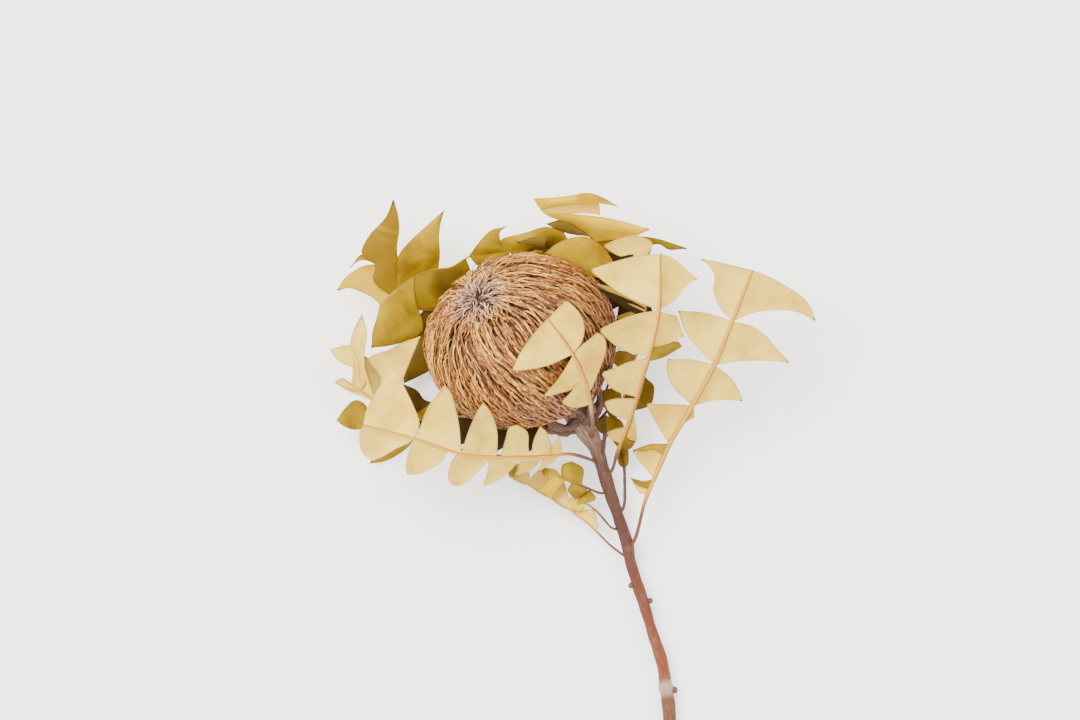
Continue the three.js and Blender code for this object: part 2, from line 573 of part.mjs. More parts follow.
const LEAVES = [
  {
    name: 'leaf_right_outer',
    colour: 'pale',
    shows: 'underside',
    ribRadius: 1.15,
    rib: [
      [47.5, -97, 8], [51, -93.5, 10], [56.3, -74.5, 17], [60.4, -64.8, 20], [67.2, -49.4, 27],
      [77.8, -31.2, 36], [88, -12.4, 44], [96.3, 7.6, 52], [105.5, 31.2, 58],
    ],
    lobes: [
      lobe(7, 8, [81.9, 36.3, 66], [[90.6, 14], [87.9, 21.5], [88.6, 28], [86, 32.6]], [[94, 33.7]]),
      lobe(7, 8, [134.6, 7.8, 50], [[108, 11.7], [117, 12.4], [126, 11.6]], [[112.7, 28.3], [121.4, 23.4],
        [128.5, 18.6], [132.2, 14.5]]),
      lobe(6, 7, [71.6, 12.4, 60], [[81.9, -6.6], [77, -1], [73.6, 5.3]], [[88.6, 9.9], [79.6, 11.7]]),
      lobe(6, 7, [122.6, -11.4, 42], [[101.7, -11.1], [112.7, -10.8]], [[104.9, 5.1], [111.6, 0.7],
        [116.9, -5.4]]),
      lobe(5, 6, [66.7, -9.7, 53], [[74.3, -28.2], [70, -24.2], [67.2, -18.6], [66.2, -13.6]],
        [[77, -10.4]]),
      lobe(5, 6, [100.9, -28.9, 34], [[90, -29]], [[95.2, -18.2], [98.8, -23.2]]),
      lobe(4, 5, [56.8, -30.2, 44], [[63.3, -42.4], [59, -35.2]], [[67, -30.9]]),
      lobe(4.5, 5, [78.6, -36.6, 33], 0.0, 0.1),
      lobe(3, 4, [50.6, -52.2, 29], [[57, -61], [53.2, -56.6]], [[61, -50.6], [55.4, -51.4]]),
      lobe(3.7, 4.05, [50.4, -51.8, 29.6], [[60, -51], [55, -51.6]], [[63.5, -48.5], [59, -48.3],
        [54.6, -49.6]], { flipped: true }),
      lobe(2.3, 3, [49.7, -64.6, 22], [[54.6, -72], [51.6, -68.4]], [[56, -65.8]]),
      lobe(2.5, 3, [49.4, -64.4, 22.6], [[55.5, -68.6], [52.6, -67.4]], [[56, -66], [52, -65]],
        { flipped: true }),
    ],
  },
  {
    name: 'leaf_right_inner',
    colour: 'pale',
    shows: 'underside',
    ribRadius: 1.05,
    rib: [
      [37, -63, 10], [40.4, -61.6, 12.5], [43.6, -52, 18], [47.4, -43, 24], [51.4, -31, 33],
      [54.9, -18.5, 42], [58, -8.6, 48], [62.6, 12.6, 57], [63.1, 38.6, 61],
    ],
    lobes: [
      lobe(7, 8, [30.5, 31.3, 70], [[50, 17.8], [43.2, 21.6], [36.8, 26.4]], [[53.2, 37.7], [44.4, 35.4]]),
      lobe(7, 8, [80.2, 27, 52], [[70.5, 17.8], [74.3, 22.6], [77.2, 25.4]], [[67.4, 37.5], [72, 34.5],
        [76.4, 30.4]]),
      lobe(6, 7, [35, 3.6, 72], [[48.8, -6.9], [43.2, -4], [38.8, -0.4]], [[53.2, 10.5], [44.4, 7.6]]),
      lobe(6, 7, [73.8, 0.8, 47], [[66.6, -3.6]], [[66.2, 10.9], [70.6, 9.9], [72.4, 5.6]]),
      lobe(5.8, 6.2, [73, -3.8, 44], [[65.3, -8], [70, -5.6]], [[66, -2.5], [71, -1.4]], { flipped: true }),
      lobe(4.3, 5.95, [36.2, -16.2, 64], [[43.6, -25.2], [39.2, -21]], [[44.6, -13.6]]),
      lobe(3.4, 4.25, [37.3, -29.4, 48], [[40.9, -35.2]], [[43.4, -28.6]]),
      lobe(2.4, 3.2, [38.4, -43.7, 29], [[41, -47.2]], [[43, -42.2]]),
      lobe(2.5, 3.8, [52.2, -46.5, 24], [[48.6, -50.4]], [[51.6, -40]]),
      lobe(2.4, 2.9, [51.8, -47.4, 24.8], [[47, -51.6], [50.5, -50]], [[48, -46]], { flipped: true }),
    ],
  },
  {
    name: 'leaf_over_head',
    colour: 'pale',
    shows: 'underside',
    ribRadius: 1.0,
    petioleRadius: 0.9,
    rib: [
      [31, -47, 9], [31.8, -44, 18], [32, -40, 32], [31.4, -33.5, 50], [30, -24.5, 67], [27.4, -16.6, 78],
      [23.3, -8.2, 85], [18.6, -0.8, 88.5], [11.4, 8.6, 90],
    ],
    lobes: [
      lobe(6.1, 8, [-5.2, -15.2, 88.5], [[12.4, -12.3], [4.6, -14.3]], [[7.6, 5], [-0.2, -5.4]],
        { bend: 0.01 }),
      lobe(6.1, 8, [20.3, 17.2, 87.5], [[27.2, -1.4], [28.2, 5], [26, 11.4]], [[16.2, 13.6]],
        { bend: 0.01 }),
      lobe(4.7, 6.05, [9.4, -27, 83], [[23.6, -23.4], [17, -25.6]], [[17.2, -18.2]], { bend: 0.01 }),
      lobe(3.9, 6.05, [34.6, 2.6, 87], [[34.6, -16.5], [37.9, -6.4], [37.8, -0.6]], [[28.5, -2.6]],
        { bend: 0.01 }),
      lobe(3.4, 4.7, [17.9, -29.8, 79], 0.1, 0.05, { bend: 0.01 }),
    ],
  },
  {
    name: 'leaf_low_left',
    colour: 'pale',
    shows: 'underside',
    ribRadius: 0.85,
    rib: [
      [35, -58.5, 9.5], [31, -55.8, 15], [21.6, -53.4, 26], [13.8, -54.2, 34], [4, -54.7, 40.5],
      [-4, -54.8, 45], [-14.4, -54.6, 50], [-28.5, -53.4, 55], [-50, -46.2, 58], [-73.6, -40, 57],
    ],
    lobes: [
      lobe(8, 9, [-60.2, -10, 61], [[-47.6, -39.6], [-50.6, -31], [-55.2, -21.6]], [[-72.4, -34],
        [-69, -27.4], [-65.2, -20.8]]),
      lobe(8, 9, [-69, -56.6, 51], [[-53, -48.6], [-58.8, -51.4], [-64.4, -54.6]], [[-75.4, -45],
        [-74, -53]]),
      lobe(8, 8.5, [-70.6, -57.8, 42], [[-52.6, -50.4], [-58.4, -54.8], [-65, -57.4]], [[-62, -50]],
        { bend: -0.05, arch: -0.05, flipped: true }),
      lobe(7, 8, [-35.9, -21.7, 65], [[-29.2, -41.7], [-30.9, -32.9], [-33.2, -25.4]], [[-47.6, -42],
        [-44, -32.9], [-39.6, -26.2]]),
      lobe(7.3, 8, [-53.3, -62.6, 50], [[-37.4, -57], [-42, -60.4], [-48.6, -63]], [[-52.4, -52.4],
        [-53.9, -58.6]]),
      lobe(5.8, 7, [-18.2, -29.7, 73], [[-11.7, -43.7], [-14.5, -35]], [[-25.4, -44.5], [-21.2, -35]],
        { bend: 0.01 }),
      lobe(6, 7.1, [-32.4, -67.8, 46], [[-19.9, -61.2], [-25.3, -66.2], [-29.5, -68.4]], [[-33.4, -59],
        [-34.2, -65]]),
      lobe(4.1, 5.6, [-2.8, -40, 58], [[2.6, -51], [2.2, -43.6]], [[-7.8, -47], [-6.2, -41.4]],
        { bend: 0.02 }),
      lobe(4.6, 6.1, [-18.3, -68.4, 42], [[-5.6, -61.2], [-12.4, -66.4]], [[-15.8, -60], [-17, -64.6]]),
      lobe(3.1, 4, [8, -40.6, 49], [[13.4, -50], [11.8, -44.6]], [[5.2, -48.4]]),
      lobe(3.4, 4.6, [-3.6, -63.4, 36], [[4.2, -60.8]], [[-1.6, -59]]),
      lobe(2.5, 3.1, [16.6, -45, 43], 0.06, 0.05),
      lobe(2.6, 3.4, [8, -61, 33], 0.1, 0.04),
    ],
  },
  {
    name: 'leaf_left_small',
    colour: 'pale',
    shows: 'underside',
    ribRadius: 0.5,
    rib: [
      [34.4, -57.6, 9.2], [30.6, -56, 11.5], [21.6, -53.6, 16], [-2, -54.8, 22], [-38, -48.8, 29],
      [-57.5, -38, 33], [-67.6, -29.6, 36], [-75, -23.8, 38], [-83, -18.4, 39],
    ],
    lobes: [
      lobe(6.05, 7.4, [-74.1, 10.9, 43], [[-70.4, -21], [-72.3, -15], [-72.8, -8], [-71.7, 2]],
        [[-77.2, -14], [-78.6, -8], [-79.4, -3], [-77.6, 4.3]], { bend: 0.02 }),
      lobe(6.9, 7.5, [-88.9, -5.4, 41], [[-76.4, -9], [-79.6, -3.3], [-84, -3.9]], [[-78.6, -13.4],
        [-81.6, -12.4], [-84.8, -10.6]], { bend: 0.01 }),
      lobe(7, 8, [-86.6, -20, 37], 0.1, 0.0),
      lobe(6, 8, [-86.4, -20.2, 36.6], [[-74.7, -27], [-81.2, -24.4]], 0.02),
      lobe(5, 6.3, [-47.2, 0.6, 40], [[-55, -28], [-55.4, -20.4], [-51.5, -9.7]], [[-67, -23.6],
        [-65, -19.4], [-69.4, -12.6], [-71.2, -8.8], [-68.5, -7.6], [-61.6, -5.5], [-55.7, -2.3]],
        { bend: 0.01 }),
      lobe(6.2, 7, [-73, -8.4, 37.6], [[-66.4, -23], [-64.4, -18.6], [-68.4, -11]], [[-72.6, -20],
        [-74.2, -13.6]], { bend: 0.01 }),
    ],
  },
  {
    name: 'leaf_left_low',
    colour: 'olive',
    shows: 'upper side',
    rib: [
      [27.5, -40, 11.5], [20, -40.5, 9], [-1.4, -38.5, 8.5], [-29, -36, 9], [-52, -38, 11],
      [-64, -38, 13], [-72, -34, 14],
    ],
    lobes: [
      lobe(5, 5.85, [-85.6, -37.7, 13], [[-70, -41], [-78, -41.8], [-83, -40]], [[-73, -30],
        [-77.4, -28.4], [-82.6, -33]]),
      lobe(4, 5, [-70, -57.5, 5], 0.1, 0.1),
      lobe(4, 5, [-56, -19, 15], 0.06, 0.06),
      lobe(3, 4, [-38, -27.5, 13], 0.1, 0.06),
      lobe(2.9, 3.9, [-35, -51, 2], [[-24, -46]], [[-44, -46]]),
      lobe(2.1, 2.9, [-14, -53, 2], [[-4, -46]], [[-26, -47]]),
      lobe(1.3, 2.1, [2, -53, 2], [[10, -46]], [[-6, -47]]),
    ],
  },
  {
    name: 'leaf_upper_left',
    colour: 'olive',
    shows: 'upper side',
    ribRadius: 0.4,
    rib: [
      [27, -38, 10.5], [34, -24, 7], [36, -4, 6], [31, 18, 6], [17, 33, 7], [0, 39.5, 9], [-14, 40.5, 13],
      [-24.4, 37.6, 17], [-33, 32.6, 18.5], [-41.5, 31.4, 20], [-50, 28.4, 22], [-58.3, 22.5, 24],
      [-65.8, 15.6, 25],
    ],
    lobes: [
      lobe(10.3, 12, [-85.4, 21.6, 22], [[-66, 33.4], [-73, 33.2], [-80, 29.2], [-83.2, 26]],
        [[-70.1, 19.1], [-75.1, 21.4], [-80, 22.9]], { bend: 0.01 }),
      lobe(10.6, 11.4, [-59.7, 63.7, 29], [[-58.2, 40.3], [-57.2, 50], [-58, 58]], [[-69.4, 26.6],
        [-68, 34], [-74.6, 38.4], [-71.5, 46.6], [-63.2, 56]], { bend: 0.03 }),
      lobe(10.8, 11.3, [-79.6, 32.2, 27], [[-66, 35], [-74, 38.6]], [[-67, 33], [-74.4, 35.8]],
        { bend: 0.01 }),
      lobe(8.7, 11, [-36.3, 58.4, 27], [[-38.6, 38], [-39, 46.1], [-38.2, 52.1]], [[-57.8, 38],
        [-54.1, 43.2], [-43.4, 52.6]], { bend: 0.03 }),
      lobe(10, 12, [-69.9, -4.4, 19], [[-49.9, 17.5], [-46.6, 8], [-46.4, 3.6], [-53, -0.9],
        [-61.2, -3.2]], [[-67.8, 9.2], [-69.4, 3.2]], { bend: 0.03 }),
      lobe(7.2, 10, [-49.4, 12.8, 13], [[-24, 27], [-36, 13.6]], [[-50.4, 20]], { bend: 0.03 }),
    ],
  },
  {
    name: 'leaf_left_back',
    colour: 'olive',
    shows: 'upper side',
    rib: [
      [23, -36, 12], [10, -37, 6], [-12, -35, 5], [-28, -25, 5.5], [-36, -10, 6.5], [-40, 5, 7.5],
      [-39, 17, 8.5],
    ],
    lobes: [
      lobe(4, 5, [-54.7, -20.7, 6], 0.04, [[-49, 4], [-55, -8]]),
      lobe(2.3, 3, [-55.4, -21, 4.6], [[-30, -37], [-44, -38], [-52, -32]], [[-34, -29], [-45, -28.4],
        [-48.6, -24]]),
      lobe(5, 6, [-53, 2, 8], 0.08, 0.1),
    ],
  },
  {
    name: 'leaf_top',
    colour: 'olive',
    shows: 'upper side',
    ribRadius: 0.45,
    rib: [
      [30, -40, 11], [39, -22, 10.8], [41.5, 0, 10.2], [37.5, 20, 10.6], [27, 34, 13.2], [11, 39.5, 18],
      [-6, 39.5, 19], [-24.8, 37.8, 21],
    ],
    lobes: [
      lobe(5.9, 7, [-7.6, 51.3, 25], [[-9.4, 43], [-10.7, 48.8]], [[-20.2, 44.3], [-14.9, 49.6]],
        { bend: 0.02 }),
      lobe(4.5, 6.2, [18.9, 48.8, 24], [[22, 42]], [[-10.4, 45], [0.5, 48.4], [10.9, 51.4]], { bend: 0.02 }),
      lobe(4.6, 5.6, [-3, 44, 26], [[8, 42.2]], [[11, 47], [4, 46.4]], { bend: 0.02 }),
      lobe(6, 7, [-13, 29, 10], 0.08, 0.06),
      lobe(5, 6, [5, 31, 8], 0.08, 0.06),
    ],
  },
  {
    name: 'leaf_top_right',
    colour: 'yellow',
    shows: 'upper side',
    ribRadius: 0.4,
    rib: [
      [31, -42, 12], [42.5, -28, 11], [47, -8, 12], [45.5, 14, 14], [41.4, 34.5, 20], [33.6, 44.6, 27],
      [22.5, 52.4, 33], [10.2, 57.2, 38], [5, 64, 44],
    ],
    lobes: [
      lobe(4, 5, [9.6, 38.8, 33], [[35, 28], [27, 31], [17.4, 35.6]], [[30.4, 46.4], [23.9, 46.7],
        [15.6, 44]], { bend: 0.03 }),
      lobe(5.04, 5.93, [10.8, 52.7, 27], [[30, 47], [21.2, 48.2], [13.6, 51]], [[19, 54.6]], { bend: 0.02 }),
      lobe(5, 7, [58.2, 49.8, 38], [[41.9, 46], [50.6, 46.8]], [[18.7, 57.8], [35.4, 56.2], [47.2, 53.4]],
        { bend: 0.02 }),
      lobe(6.8, 7.4, [35.6, 56.8, 39], [[24, 57]], [[20, 61.2], [34, 62]], { bend: 0.01, flipped: true }),
      lobe(7.3, 8, [43.3, 60.7, 46], [[14, 60.9], [29, 62.2], [35.5, 62.4]], [[14, 64.6], [22, 65.6],
        [30.4, 67.2], [37, 64.9]], { bend: 0.01 }),
      lobe(4.4, 5, [75.4, 41, 30], [[54, 42], [62.6, 43.4], [67, 40.6]], [[46, 47.6], [60.2, 46.2],
        [69, 43.3]], { bend: 0.01 }),
      lobe(3.05, 4.4, [29, 26, 15], [[36, 12]], [[33, 38]], { bend: 0.0 }),
      lobe(3.8, 4.9, [53, 35, 17], [[48, 29]], [[46, 43]], { bend: 0.0 }),
      lobe(2.9, 4.2, [59.5, 11.6, 19], [[43, 5.6], [49, 8.6], [55, 10.4]], [[47, 37], [57, 22]],
        { bend: 0.02 }),
    ],
  },
  {
    name: 'leaf_right_back',
    colour: 'pale',
    shows: 'underside',
    ribRadius: 0.5,
    rib: [
      [34.5, -50, 8.5], [40.5, -42, 11], [46, -28, 17], [52, -8, 25], [56, 12, 33], [58, 29, 39],
      [57.4, 39, 42],
    ],
    lobes: [
      lobe(5, 6, [36.6, 42.4, 47], [[51, 38.2], [44.6, 37.5]], [[59.6, 43.4], [52.3, 47], [44.6, 45.6]],
        { bend: 0.02 }),
      lobe(4, 4.3, [33, 25.2, 57], 0.02, 0.02, { bend: 0.01 }),
      lobe(3.85, 4.1, [34.4, 22.8, 56], 0.02, 0.02, { bend: 0.01 }),
      lobe(3, 4, [43, 10, 24], 0.08, 0.06),
      lobe(3, 4, [68, -1.5, 28], 0.04, 0.1),
      lobe(2.3, 3, [39, -9.8, 20], [[43, -13]], [[44, -6]], { bend: 0.02 }),
      lobe(1.7, 2.9, [60.4, -25, 18], [[52, -33], [58.6, -30.6]], [[56.5, -18], [60, -21.5]],
        { bend: 0.02, flipped: true }),
      lobe(1.2, 1.9, [36.5, -24, 22], [[38, -33], [36, -27]], [[44, -23]], { bend: 0.02, flipped: true }),
    ],
  },
  {
    name: 'leaf_rolled',
    colour: 'olive',
    shows: 'upper side',
    ribRadius: 0.75,
    petioleRadius: 0.8,
    rib: [
      [43.5, -82, 8.6], [46.4, -77.3, 9], [46.8, -68.5, 8.5], [46.6, -60, 7.5], [45.5, -51, 6.5],
      [43.7, -42.3, 5],
    ],
    lobes: [
      lobe(3, 4, [48.4, -50, 8], [[48.4, -58]], 0.05, { arch: 0.3 }),
      lobe(3, 4, [44.4, -51, 6], [[44.2, -58]], 0.05, { arch: 0.3 }),
      lobe(4, 5, [40, -44, 4], 0.12, 0.12),
      lobe(4, 5, [52, -44, 6], 0.12, 0.12),
    ],
  },
  {
    name: 'leaf_spike',
    colour: 'olive',
    shows: 'upper side',
    ribRadius: 0.9,
    petioleRadius: 0.9,
    rib: [
      [36, -57.5, 9.4], [37, -52, 13], [37.6, -44, 16], [37.8, -34.5, 19],
    ],
    lobes: [
      lobe(2, 2.9, [47.3, -41.8, 18], [[42, -44.4]], [[41, -36.6], [44.6, -37.4]]),
      lobe(2, 2.9, [33.2, -40, 19], [[35.6, -43.6]], [[35.6, -37]]),
    ],
  },
  {
    name: 'leaf_curled_small',
    colour: 'yellow',
    shows: 'upper side',
    ribRadius: 0.6,
    rib: [
      [39.8, -71, 9.2], [35.4, -71.3, 13], [30.8, -69.5, 16], [26.2, -67.6, 18], [19.8, -65.3, 20],
      [13.8, -62.6, 21],
    ],
    lobes: [
      lobe(2.8, 4.2, [22.4, -56.8, 22], [[27.2, -66], [27.6, -60]], [[17.6, -63], [18, -58.4]],
        { arch: 0.2 }),
      lobe(2.6, 3.6, [24.4, -74, 15], [[29.4, -70]], [[20.6, -70]], { arch: 0.3 }),
      lobe(4, 5, [9.6, -72.4, 17], [[15.6, -70], [13.4, -73.4]], [[10.4, -66], [7.8, -69.6]], { arch: 0.2 }),
      lobe(4.2, 5, [8, -59.6, 22], [[15, -60.6]], [[10, -63.4]]),
    ],
  },
  {
    name: 'leaf_curled_lower',
    colour: 'yellow',
    shows: 'upper side',
    ribRadius: 0.5,
    rib: [
      [45, -88, 8.4], [41, -87.4, 10.6], [34.2, -80, 13.9], [28.4, -76, 14.6], [24.6, -77, 13.8],
    ],
    lobes: [
      lobe(3, 4, [30.6, -69.8, 14.3], [[33.6, -74]], [[26.4, -73.4]], { arch: 0.2 }),
      lobe(3, 4, [23.6, -79.8, 13.3], [[28, -78.6]], [[22.4, -76.6]], { arch: 0.2 }),
    ],
  },
  {
    name: 'leaf_lowest',
    colour: 'pale',
    shows: 'underside',
    ribRadius: 0.45,
    petioleRadius: 0.6,
    rib: [
      [49, -102, 7.7], [40, -95.2, 9], [35, -90.2, 10], [28.5, -84.2, 11], [21.6, -79.1, 11.5],
      [12.4, -73.3, 12], [3.2, -68, 12.5], [-6.9, -63.2, 13],
    ],
    lobes: [
      lobe(2, 3.2, [32.4, -78.7, 12.5], 0.02, [[26.6, -80]]),
      lobe(3.2, 4.2, [26, -70, 12.5], 0.05, 0.1),
      lobe(4.1, 5.1, [18, -64, 12], 0.08, 0.16),
      lobe(5, 6, [10.4, -58.8, 12], 0.08, 0.16),
      lobe(6, 7, [1, -57.2, 12], 0.08, 0.2),
      lobe(3, 4, [25.5, -80.5, 0.6], 0.06, 0.06),
      lobe(4, 5, [17, -75, 0.6], 0.06, 0.06),
      lobe(5, 6, [7.8, -69.5, 0.6], 0.06, 0.06),
      lobe(6, 7, [-2, -64, 0.8], 0.06, 0.06),
    ],
  },
];

const STEM = stemSolid(0);
const STEM_SPACE = stemSolid(GAP);

function addMesh(group, name, solid, colour, detail) {
  const material = new THREE.MeshStandardMaterial({ color: COLOURS[colour], roughness: 0.8, metalness: 0 });
  const skin = outerSkin(solid, detail);
  skin.computeVertexNormals();
  const mesh = new THREE.Mesh(skin, material);
  mesh.name = name;
  group.add(mesh);
}

const banksia = new THREE.Group();
addMesh(banksia, 'stem', STEM, 'stem', FINEST_DETAIL);
addMesh(banksia, 'flower_head', headSolid().subtract(STEM_SPACE), 'head', 0);
for (const leaf of LEAVES) {
  addMesh(banksia, leaf.name, leafSolid(leaf).subtract(STEM_SPACE), leaf.colour, FINEST_DETAIL);
}

export default banksia;
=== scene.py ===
"""Dried birds nest banksia, dressed round its solid frame.

One cut flower lies on its side: a dome of wiry styles on a bent woody stem, with saw-toothed
leaves round it. Places are written in millimetres in the flower's own frame, +Z up, with the
origin at the spot the head rests on. They become metres when a mesh is made.
"""

import logging
import math
from dataclasses import dataclass, field
from enum import Enum
from typing import Any, Sequence

import bpy
import numpy as np
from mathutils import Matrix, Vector


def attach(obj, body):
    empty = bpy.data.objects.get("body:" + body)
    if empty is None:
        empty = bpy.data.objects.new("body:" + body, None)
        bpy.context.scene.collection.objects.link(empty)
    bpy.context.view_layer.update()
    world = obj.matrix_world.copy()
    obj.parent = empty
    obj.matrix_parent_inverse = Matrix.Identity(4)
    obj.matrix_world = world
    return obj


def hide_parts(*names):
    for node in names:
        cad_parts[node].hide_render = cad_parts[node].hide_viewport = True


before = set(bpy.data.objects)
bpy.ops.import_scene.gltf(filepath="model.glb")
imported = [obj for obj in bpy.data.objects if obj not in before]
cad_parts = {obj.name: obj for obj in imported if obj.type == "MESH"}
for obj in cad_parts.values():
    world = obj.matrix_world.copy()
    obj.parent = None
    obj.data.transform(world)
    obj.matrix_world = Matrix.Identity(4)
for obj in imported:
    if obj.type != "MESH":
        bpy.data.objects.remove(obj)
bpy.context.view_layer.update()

LOG = logging.getLogger("banksia")

MM = 0.001
# A whole turn in radians, to two places, for drawing where a wave starts
WHOLE_TURN = 6.28
BODY = "root"
SURFACE_UV = "surface"
# The camera looks straight down from here, in millimetres
EYE = (7.82, -10.12, 2500.0)
Point = tuple[float, float, float]
Socket = bpy.types.NodeSocket
Settings = dict[str | int, Any]
Links = dict[str | int, Socket]
Stops = tuple[tuple[float, str], ...]
Edge = float | Sequence[tuple[float, float]]


class Face(Enum):
    """Which face of a leaf looks up at the eye."""

    UNDERSIDE = -1
    UPPER = 1


class Tone(Enum):
    """Colour of the upper side of a leaf."""

    OLIVE = "olive"
    YELLOW = "yellow"


# Shared steps


def linear(code: str) -> tuple[float, float, float, float]:
    """Turns an sRGB hex colour into a linear one.

    Args:
        code: six hex digits, such as "e4d4a2".

    Returns:
        Red, green, blue and alpha, linear.
    """
    parts = [int(code[i:i + 2], 16) / 255 for i in (0, 2, 4)]
    red, green, blue = (p / 12.92 if p <= 0.04045 else ((p + 0.055) / 1.055) ** 2.4 for p in parts)
    return red, green, blue, 1.0


def deselect() -> None:
    """Leaves object mode with nothing selected."""
    if bpy.context.object and bpy.context.object.mode != "OBJECT":
        bpy.ops.object.mode_set(mode="OBJECT")
    bpy.ops.object.select_all(action="DESELECT")


def pick(obj: bpy.types.Object) -> None:
    """Makes one object the only selected and the active one.

    Args:
        obj: the object.
    """
    deselect()
    obj.select_set(True)
    bpy.context.view_layer.objects.active = obj


def join(objects: Sequence[bpy.types.Object], name: str) -> bpy.types.Object:
    """Joins meshes into the first one.

    Args:
        objects: the meshes.
        name: name of the result.

    Returns:
        The joined object.
    """
    deselect()
    for obj in objects:
        obj.select_set(True)
    bpy.context.view_layer.objects.active = objects[0]
    if len(objects) > 1:
        bpy.ops.object.join()
    joined = bpy.context.object
    joined.name = name
    joined.data.name = name
    return joined


def points_of(obj: bpy.types.Object) -> np.ndarray:
    """Reads the places of a mesh's points.

    Args:
        obj: the mesh.

    Returns:
        Three metres for each point, a row for each.
    """
    flat = np.zeros(len(obj.data.vertices) * 3)
    obj.data.vertices.foreach_get("co", flat)
    return flat.reshape(-1, 3)


def move_points(obj: bpy.types.Object, places: np.ndarray) -> None:
    """Moves the points of a mesh to places in millimetres."""
    obj.data.vertices.foreach_set("co", (places * MM).ravel())


def face_outward(obj: bpy.types.Object, weld: float = 0.0) -> None:
    """Turns every face outward, after closing seams and poles where a distance is given.

    Args:
        obj: the mesh.
        weld: distance in metres within which points are merged, or 0 to leave them.
    """
    pick(obj)
    bpy.ops.object.mode_set(mode="EDIT")
    bpy.ops.mesh.select_all(action="SELECT")
    if weld:
        bpy.ops.mesh.remove_doubles(threshold=weld)
        bpy.ops.mesh.fill_holes(sides=0)
        bpy.ops.mesh.select_all(action="SELECT")
    bpy.ops.mesh.normals_make_consistent(inside=False)
    bpy.ops.object.mode_set(mode="OBJECT")


def thicken(obj: bpy.types.Object, thickness: float, back_material: int = 0) -> None:
    """Gives a sheet a thickness, half to each side.

    Args:
        obj: the sheet.
        thickness: millimetres.
        back_material: how many places further on in the list the material of the back is.
    """
    solid = obj.modifiers.new("thickness", "SOLIDIFY")
    solid.thickness = thickness * MM
    solid.offset = 0
    solid.material_offset = back_material
    pick(obj)
    bpy.ops.object.modifier_apply(modifier=solid.name)


def hand_over(obj: bpy.types.Object, node: str) -> None:
    """Says which body a piece rides on, which solid it stands for.

    Args:
        obj: the piece.
        node: the solid it stands for.
    """
    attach(obj, BODY)
    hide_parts(node)


def unit_of(direction: np.ndarray) -> np.ndarray:
    """Scales a direction to a length of one."""
    return direction / np.linalg.norm(direction)


def run_along(line: np.ndarray) -> np.ndarray:
    """Length run along a line up to each of its points."""
    return np.concatenate([[0], np.cumsum(np.linalg.norm(np.diff(line, axis=0), axis=1))])


def smooth(obj: bpy.types.Object, degrees: float) -> None:
    """Shades smooth, with an edge wherever faces meet at more than an angle."""
    pick(obj)
    bpy.ops.object.shade_smooth_by_angle(angle=math.radians(degrees))


def set_float(obj: bpy.types.Object, name: str, values: np.ndarray) -> None:
    """Stores one number for each vertex under a name."""
    layer = obj.data.attributes.get(name) or obj.data.attributes.new(name, "FLOAT", "POINT")
    layer.data.foreach_set("value", np.asarray(values, np.float32).ravel())


def set_uv(obj: bpy.types.Object, per_vertex: np.ndarray) -> None:
    """Writes a surface map from one pair of numbers for each vertex.

    Args:
        obj: the mesh.
        per_vertex: the pairs, a row for each vertex.
    """
    mesh = obj.data
    layer = mesh.uv_layers.get(SURFACE_UV) or mesh.uv_layers.new(name=SURFACE_UV)
    corners = np.zeros(len(mesh.loops), np.int32)
    mesh.loops.foreach_get("vertex_index", corners)
    layer.data.foreach_set("uv", per_vertex[corners].astype(np.float32).ravel())


def sheet(
    name: str, places: np.ndarray, uv: np.ndarray, numbers: dict[str, np.ndarray],
) -> bpy.types.Object:
    """Makes a curved sheet from a grid whose points are moved to their places.

    Args:
        name: name of the sheet.
        places: rows, columns and three millimetres for each point.
        uv: rows, columns and two numbers for each point.
        numbers: names and rows by columns of numbers to keep on the points.

    Returns:
        The sheet, with its faces towards columns crossed with rows.
    """
    rows, columns = places.shape[:2]
    deselect()
    bpy.ops.mesh.primitive_grid_add(x_subdivisions=columns - 1, y_subdivisions=rows - 1, size=1)
    obj = bpy.context.object
    obj.name = name
    obj.data.uv_layers[0].name = SURFACE_UV
    flat = points_of(obj)
    column = np.rint((flat[:, 0] + 0.5) * (columns - 1)).astype(int)
    row = np.rint((flat[:, 1] + 0.5) * (rows - 1)).astype(int)
    move_points(obj, places[row, column])
    set_uv(obj, uv[row, column])
    for key, values in numbers.items():
        set_float(obj, key, values[row, column])
    obj.data.update()
    return obj


@dataclass
class Course:
    """A smooth line through points, on which a share of 0 to 1 counts the points."""

    points: Sequence[Point]

    def at(self, share: float) -> np.ndarray:
        """Place on the line.

        Args:
            share: 0 at the first point and 1 at the last.

        Returns:
            Three millimetres.
        """
        line = np.array(self.points, float)
        last = len(line) - 1
        span = min(int(share * last), last - 1)
        weight = share * last - span
        p1, p2 = line[span], line[span + 1]
        p0 = line[span - 1] if span else 2 * line[0] - line[1]
        p3 = line[span + 2] if span + 2 <= last else 2 * line[last] - line[last - 1]
        d0, d1, d2 = (math.sqrt(np.linalg.norm(b - a)) for a, b in ((p0, p1), (p1, p2), (p2, p3)))
        m1 = ((p1 - p0) / d0 - (p2 - p0) / (d0 + d1) + (p2 - p1) / d1) * d1
        m2 = ((p2 - p1) / d1 - (p3 - p1) / (d1 + d2) + (p3 - p2) / d2) * d1
        square = -3 * p1 + 3 * p2 - 2 * m1 - m2
        cube = 2 * p1 - 2 * p2 + m1 + m2
        return p1 + weight * (m1 + weight * (square + weight * cube))

    def sampled(self, steps: int) -> np.ndarray:
        """Places at even shares, as many as steps and one more."""
        return np.array([self.at(i / steps) for i in range(steps + 1)])


